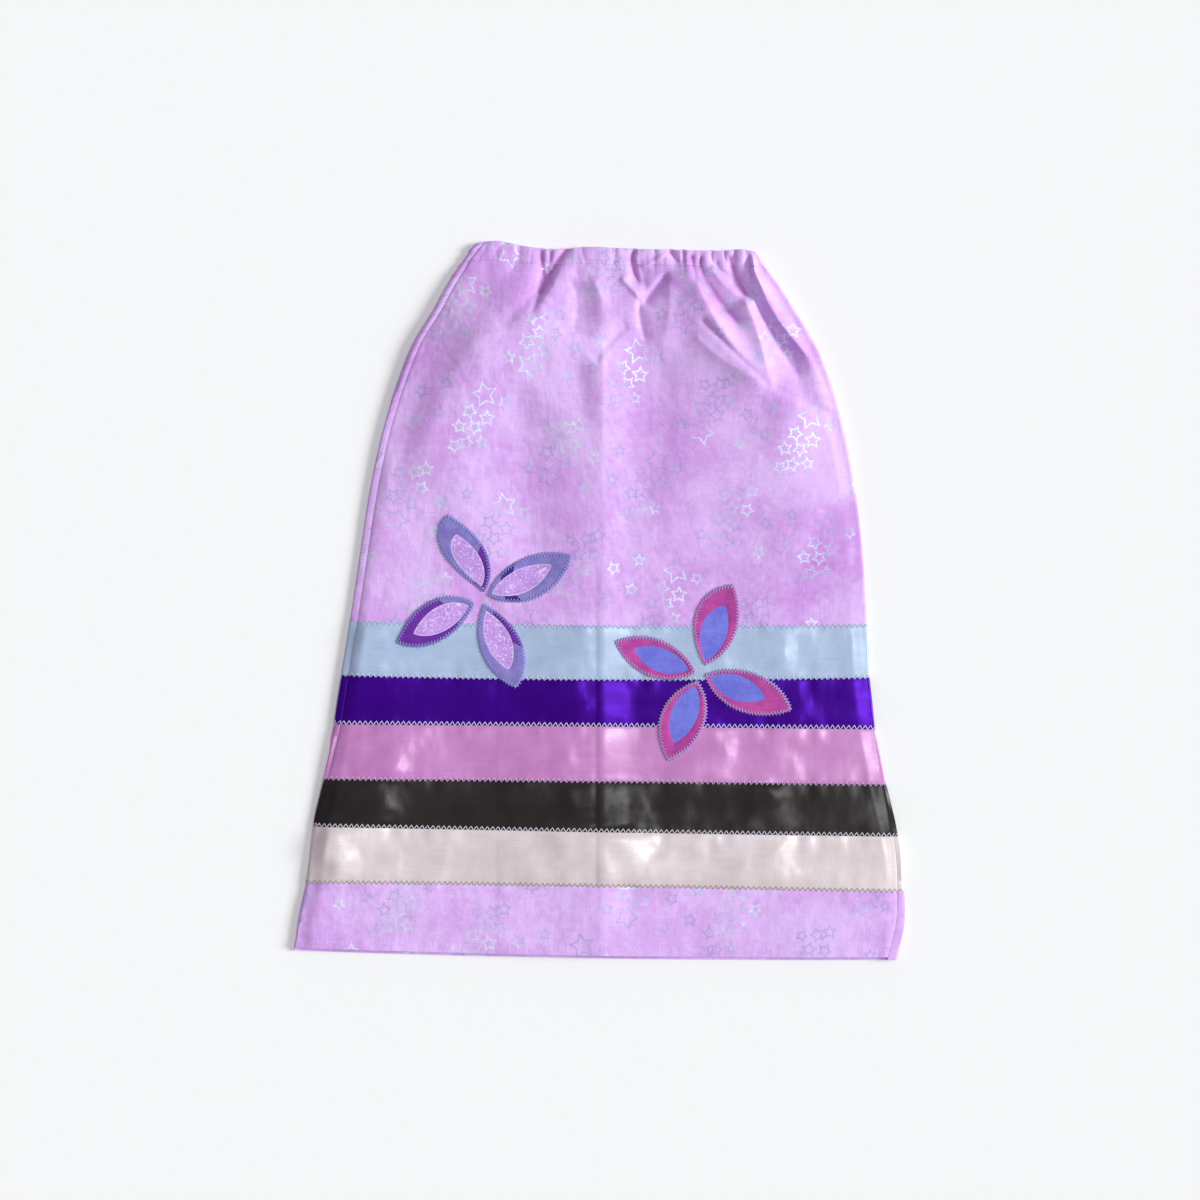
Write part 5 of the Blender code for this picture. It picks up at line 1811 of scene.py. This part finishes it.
@dataclass
class Stitching:
    """Zigzags along the ribbons and straight stitches at the casing and the hem."""

    form: SkirtForm
    petals: Tuple[Petal, ...]  # what covers the front's zigzags in places
    pitch: float = 0.0039  # length of one zigzag
    stitch: float = 0.0024  # length of one straight stitch
    gap: float = 0.0006  # between straight stitches
    radius: Tuple[float, float] = (0.00027, 0.00016)  # of a zigzag's thread, front and back
    proud: Tuple[float, float] = (0.00024, 0.00008)  # how far it stands out there
    buried: float = 0.0008  # how deep it lies under a petal
    straight_radius: float = 0.00016  # of the straight stitches' thread
    straight_proud: Tuple[float, float] = (0.00016, 0.0)  # how far they stand out, front and back
    over_seam: float = 0.0008  # from the seam and the hem up to their lines
    over_hem: float = 0.0058

    def zigzag(self, line: ZigzagLine, ways: Ways, sewing: Sewing, proud: float) -> None:
        """Sews one zigzag from seam to seam.

        Args:
            line: where it runs.
            ways: where it starts and ends round the tube.
            sewing: takes the thread.
            proud: how far the thread stands out.
        """
        start, end = (float(w[0]) for w in ways(np.array([DROP[line.level]])))
        legs = int((end - start) / self.pitch * 2)
        at = np.arange(LEG_POINTS * legs + 1) / LEG_POINTS
        way = start + (end - start) * at / legs
        swing = 2 * np.abs((at / 2) % 1 - 0.5)
        drop = DROP[line.level] - line.above + (line.above + line.below) * swing
        lift = proud * (np.abs(np.sin(math.pi * at)) ** 0.6 + 0.25)
        path, _ = self.form.surface(way, drop, -lift)
        for petal in self.petals:
            hidden = petal.covers(path[:, 0], path[:, 1]) & (path[:, 2] > FRONT_ABOVE)
            lift = np.where(hidden, -self.buried, lift)
        path, normal = self.form.surface(way, drop, -lift)
        sewing.lay(path, normal)

    def straight(self, drop: float, ways: Ways, sewing: Sewing, proud: float) -> None:
        """Sews one line of straight stitches.

        Args:
            drop: where it runs.
            ways: where it starts and ends round the tube.
            sewing: takes the thread.
            proud: how far the thread stands out.
        """
        start, end = (float(w[0]) for w in ways(np.array([drop])))
        step = self.stitch + self.gap
        for k in range(int((end - start) / step)):
            way = start + k * step + self.gap / 2 + STITCH_AT * self.stitch
            path, normal = self.form.surface(way, np.full(len(way), drop), -proud * STITCH_RISE)
            sewing.lay(path, normal)

    def build(self) -> List[Piece]:
        """Sews every line.

        Returns:
            The pieces of thread.
        """
        made = []
        for line in ZIGZAGS:
            thread = line.thread.material()
            for (side, ways), radius, proud in zip(self.form.halves, self.radius, self.proud):
                sewing = Sewing(radius=radius)
                self.zigzag(line, ways, sewing, proud)
                made.append(sewing.finish(f"{side}_zigzag_{line.level.replace(' ', '_')}", thread))
        thread = ORCHID_THREAD.material()
        for (side, ways), proud in zip(self.form.halves, self.straight_proud):
            sewing = Sewing(radius=self.straight_radius)
            for drop in (DROP["casing seam"] - self.over_seam, DROP["hem"] - self.over_hem):
                self.straight(drop, ways, sewing, proud)
            made.append(sewing.finish(f"{side}_straight_stitches", thread))
        return made


# ---- flowers
RING_ROWS = (  # shares of the way from a petal's edge to its window, and how far each is sunk
    (0.0, 0.00022), (0.04, 0.0), (0.3, 0.0), (0.6, 0.0), (0.96, 0.0), (1.0, 0.0001),
)
INSERT_INSETS = (-0.0004, 0.0, 0.0007, 0.0012, 0.003)  # of an insert's rings from its window
INSERT_SHARES = (0.6, 0.25)  # sizes of its inmost rings, against the last of those
RIM_RINGS = 3  # of its rings, those of the cut edge
HEM_POINTS = 200  # along each side of a petal, to measure its zigzag by


@dataclass
class Flower:
    """Four appliqued petals, each with an insert in its window and a zigzag round it."""

    name: str
    form: SkirtForm
    petals: Tuple[Petal, ...]
    ring: PlainCotton  # cloth of the petals
    insert: PlainCotton  # cloth of the inserts
    insert_slot: str  # a name for the inserts' cloth
    thread: Thread  # of the zigzag
    second: Dict[str, PlainCotton] = field(default_factory=dict)  # the cloths of the patches, by name
    stations: int = 40  # along each side of a petal
    cloth: float = 0.00035  # thickness of the petals
    lift: float = 0.00032  # from the skirt's surface to their underside
    sunk: float = 0.00018  # how far an insert's top lies below a petal's
    overlap: float = 0.0001  # how far its edge lies below a petal's underside
    pitch: float = 0.0024  # length of one zigzag
    inner: float = 0.0023  # how far in from the edge its points are
    outer: float = -0.0009
    uneven: float = 0.00018  # how much those points stray
    thread_radius: float = 0.00026
    thread_rise: float = 0.00022  # how far it bends up between its points

    def points(self, plan: Array, height: float) -> Array:
        """Plan points laid on the front, at a height over it."""
        way, drop = self.form.on_front(plan)
        return self.form.surface(way, drop, np.full(way.shape, -height))[0]

    def build_ring(self, petal: Petal, materials: List[Material]) -> Piece:
        """Makes a petal with its window.

        Args:
            petal: its sizes.
            materials: the petal's cloth, then those of its patches.

        Returns:
            The piece.
        """
        rim = petal.outline(0.0, 1.0, 1.0, 0.0, self.stations)
        window = petal.outline(petal.insert_from, petal.insert_to, petal.insert_width, 0.0, self.stations)
        plans = [rim + (window - rim) * share for share, _ in RING_ROWS]
        rings = [self.points(p, self.lift + self.cloth - d) for p, (_, d) in zip(plans, RING_ROWS)]
        low = (plans[-1], plans[0])
        rings += [self.points(plan, self.lift) for plan in low]
        count = len(rim)
        faces: List[Tuple[int, ...]] = []
        for k in range(len(rings)):
            faces += ring_faces(k * count, (k + 1) % len(rings) * count, count)
        slots = []
        for i in range(count):
            side = Side.LEFT if i < self.stations else Side.RIGHT
            slots.append(petal.cloth_at(side, (1 - math.cos(math.pi * (i + 0.5) / self.stations)) / 2))
        made = piece_from(f"{self.name}_{petal.name}_petal_cloth", np.concatenate(rings), faces, materials[0])
        for extra in materials[1:]:
            made.data.materials.append(extra)
        made.data.polygons.foreach_set("material_index", np.array(slots * len(rings), np.int32))
        lay_pattern(made.data, "Cloth", np.concatenate([*plans, *low]))
        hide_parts(f"{self.name}_petal_{petal.name}")
        return made

    def build_insert(self, petal: Petal, material: Material) -> Piece:
        """Makes the insert of a petal's window.

        Args:
            petal: its sizes.
            material: its cloth.

        Returns:
            The piece.
        """
        given = (petal.insert_from, petal.insert_to, petal.insert_width)
        plans = [petal.outline(*given, inset, self.stations) for inset in INSERT_INSETS]
        middle = plans[-1].mean(axis=0)
        plans += [middle + (plans[-1] - middle) * share for share in INSERT_SHARES]
        top, low = self.lift + self.cloth - self.sunk, self.lift - self.overlap
        rings = [self.points(plans[0], low), *(self.points(plan, top) for plan in plans)]
        middles = [self.points(middle[None], height) for height in (top, low)]
        count = len(plans[0])
        faces: List[Tuple[int, ...]] = []
        for k in range(len(rings) - 1):
            faces += ring_faces(k * count, (k + 1) * count, count)
        last, hub = (len(rings) - 1) * count, len(rings) * count
        for i in range(count):
            j = (i + 1) % count
            faces += [(last + i, hub, last + j), (j, hub + 1, i)]
        name = f"{self.name}_{petal.name}_insert_cloth"
        made = piece_from(name, np.concatenate([*rings, *middles]), faces, material)
        plan = np.concatenate([plans[0], *plans, middle[None], middle[None]])
        lay_pattern(made.data, "Cloth", plan)
        store_share(made.data, "rim", np.arange(len(plan)) < RIM_RINGS * count)
        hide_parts(f"{self.name}_insert_{petal.name}")
        return made

    def sew(self, petal: Petal, sewing: Sewing) -> None:
        """Sews the zigzag round a petal.

        Args:
            petal: its sizes.
            sewing: takes the thread.
        """
        edge = petal.outline(0.0, 1.0, 1.0, 0.0, HEM_POINTS)
        gap = np.linalg.norm(np.roll(edge, -1, axis=0) - edge, axis=1)
        length = gap.sum()
        legs = int(length / self.pitch * 2) // 2 * 2
        at = np.arange(legs * 2) / 2
        at_hole = at % 1 == 0
        along = np.concatenate([[0], np.cumsum(gap)])
        closed = np.concatenate([edge, edge[:1]])
        where = at / legs * length
        line = np.stack([np.interp(where, along, closed[:, k]) for k in (0, 1)], -1)
        ahead = np.stack([np.interp((where + 0.0004) % length, along, closed[:, k]) for k in (0, 1)], -1)
        tangent = ahead - line
        tangent /= np.linalg.norm(tangent, axis=1, keepdims=True) + 1e-12
        inwards = np.stack([tangent[:, 1], -tangent[:, 0]], -1)
        swing = np.abs((at % 2) - 1)
        rng = np.random.default_rng(len(petal.name) + int(length * 1e5))
        stray = self.uneven * rng.standard_normal(len(at)) * at_hole
        plan = line + inwards * (self.outer + (self.inner - self.outer) * swing + stray)[:, None]
        way, drop = self.form.on_front(plan)
        lift = self.lift + self.cloth + self.thread_rise * ~at_hole + 0.00002
        lift = np.where(swing > 0.2, lift, self.lift * 0.6)
        path, normal = self.form.surface(way, drop, -lift)
        sewing.lay(path, normal, closed=True)

    def build(self, groups: ShaderGroups) -> List[Piece]:
        """Makes the flower.

        Args:
            groups: the shared effects.

        Returns:
            The pieces.
        """
        ring, insert = self.ring.material(groups), self.insert.material(groups)
        second = {name: finish.material(groups) for name, finish in self.second.items()}
        thread = self.thread.material()
        made = []
        for petal in self.petals:
            cloths = [ring, *(second[patch.cloth] for patch in petal.patches)]
            outer = self.build_ring(petal, cloths)
            inner = self.build_insert(petal, insert)
            sewing = Sewing(radius=self.thread_radius)
            self.sew(petal, sewing)
            made += [outer, inner, sewing.finish(f"{self.name}_{petal.name}_petal_zigzag", thread)]
        return made


# ---- studio
@dataclass(frozen=True)
class SoftLight:
    """A far, even lamp."""

    name: str
    tilt: float  # how far off the vertical it is, in degrees
    towards: float  # which way it is tilted, in degrees from +X
    breadth: float  # how much of the sky it fills, in degrees
    strength: float  # of its light


@dataclass
class Studio:
    """A plain pale floor, soft lamps and the camera above."""

    height: float = 2.8835  # of the camera
    lens: float = 120.0  # its focal length in millimetres
    floor_size: float = 8.0  # breadth of the floor
    floor_drop: float = 0.0004  # how far the floor lies under the skirt
    floor: Colour = (0.877, 0.885, 0.897)
    sky: float = 0.31  # strength of the even light
    bounce: Colour = (1.0, 0.87, 1.0)  # its colour, warmed by the cloth
    lamp: Colour = (0.945, 1.0, 0.945)
    lamps: Tuple[SoftLight, ...] = (
        SoftLight("key", 66.0, 4.0, 22.0, 3.74),
        SoftLight("panel", 17.0, 10.0, 14.0, 0.98),
    )

    def lay_floor(self) -> None:
        """Lays the floor, a little below the skirt."""
        bpy.ops.mesh.primitive_plane_add(size=self.floor_size, location=(0.0, 0.0, -self.floor_drop))
        floor = bpy.context.object
        floor.name = "floor"
        material, _, shader = new_material("floor")
        shader.inputs["Base Color"].default_value = (*self.floor, 1.0)
        shader.inputs["Roughness"].default_value = 0.9
        shader.inputs["Specular IOR Level"].default_value = 0.1
        floor.data.materials.append(material)

    def light(self) -> None:
        """Sets up the even light and the lamps."""
        world = bpy.data.worlds.new("studio")
        world.use_nodes = True
        even = world.node_tree.nodes["Background"]
        even.inputs[0].default_value = (*self.bounce, 1.0)
        even.inputs[1].default_value = self.sky
        bpy.context.scene.world = world
        for lamp in self.lamps:
            data = bpy.data.lights.new(lamp.name, "SUN")
            data.angle, data.energy, data.color = math.radians(lamp.breadth), lamp.strength, self.lamp
            made = bpy.data.objects.new(lamp.name, data)
            made.rotation_euler = (0.0, math.radians(lamp.tilt), math.radians(lamp.towards))
            made.location = (0.8, 0.1, 0.8)
            bpy.context.collection.objects.link(made)

    def build(self) -> None:
        """Sets up the floor, the lamps and the camera."""
        self.lay_floor()
        self.light()
        scene = bpy.context.scene
        data = bpy.data.cameras.new("camera")
        data.lens, data.sensor_width = self.lens, 36.0
        camera = bpy.data.objects.new("camera", data)
        camera.location = (0.0, 0.0, self.height)
        scene.collection.objects.link(camera)
        scene.camera = camera
        scene.view_settings.view_transform = "Standard"
        scene.view_settings.look = "None"


def main() -> None:
    """Builds the skirt's pieces in order, then the studio."""
    logging.basicConfig(level=logging.INFO, format="%(name)s: %(message)s")
    form, groups = SkirtForm(), ShaderGroups()
    cotton = StarCotton().material(groups)
    panels = CottonPanels(form)
    made = panels.build(cotton)
    made += Casings(form, panels).build(cotton)
    made += Ribbons(form).build(groups)
    made += Stitching(form, (*LILAC_PETALS, *BERRY_PETALS)).build()
    lilac = Flower(
        "lilac", form, LILAC_PETALS,
        PlainCotton("lilac", screen(140, 130, 200), screen(122, 110, 188)),
        SwirlCotton("swirl", screen(198, 156, 232), screen(182, 138, 218), 1.7),
        "swirl_cotton",
        Thread("bluebell", screen(158, 164, 228)),
        {"purple": PlainCotton("purple patch", screen(108, 44, 164), screen(92, 32, 148), 2.3),
         "navy": PlainCotton("navy patch", screen(52, 30, 132), screen(44, 22, 118), 3.1)},
    )
    berry = Flower(
        "berry", form, BERRY_PETALS,
        PlainCotton("berry", screen(190, 72, 160), screen(164, 60, 150), 4.2),
        PlainCotton("periwinkle", screen(118, 124, 222), screen(104, 108, 212), 5.0),
        "periwinkle_cotton",
        Thread("frost", screen(186, 178, 230)),
    )
    for flower in (lilac, berry):
        made += flower.build(groups)
    for piece in made:
        LOG.info("%s: %d faces", piece.name, len(piece.data.polygons))
    LOG.info("%d pieces, %d faces", len(made), sum(len(p.data.polygons) for p in made))
    Studio().build()


if __name__ == "__main__":
    main()
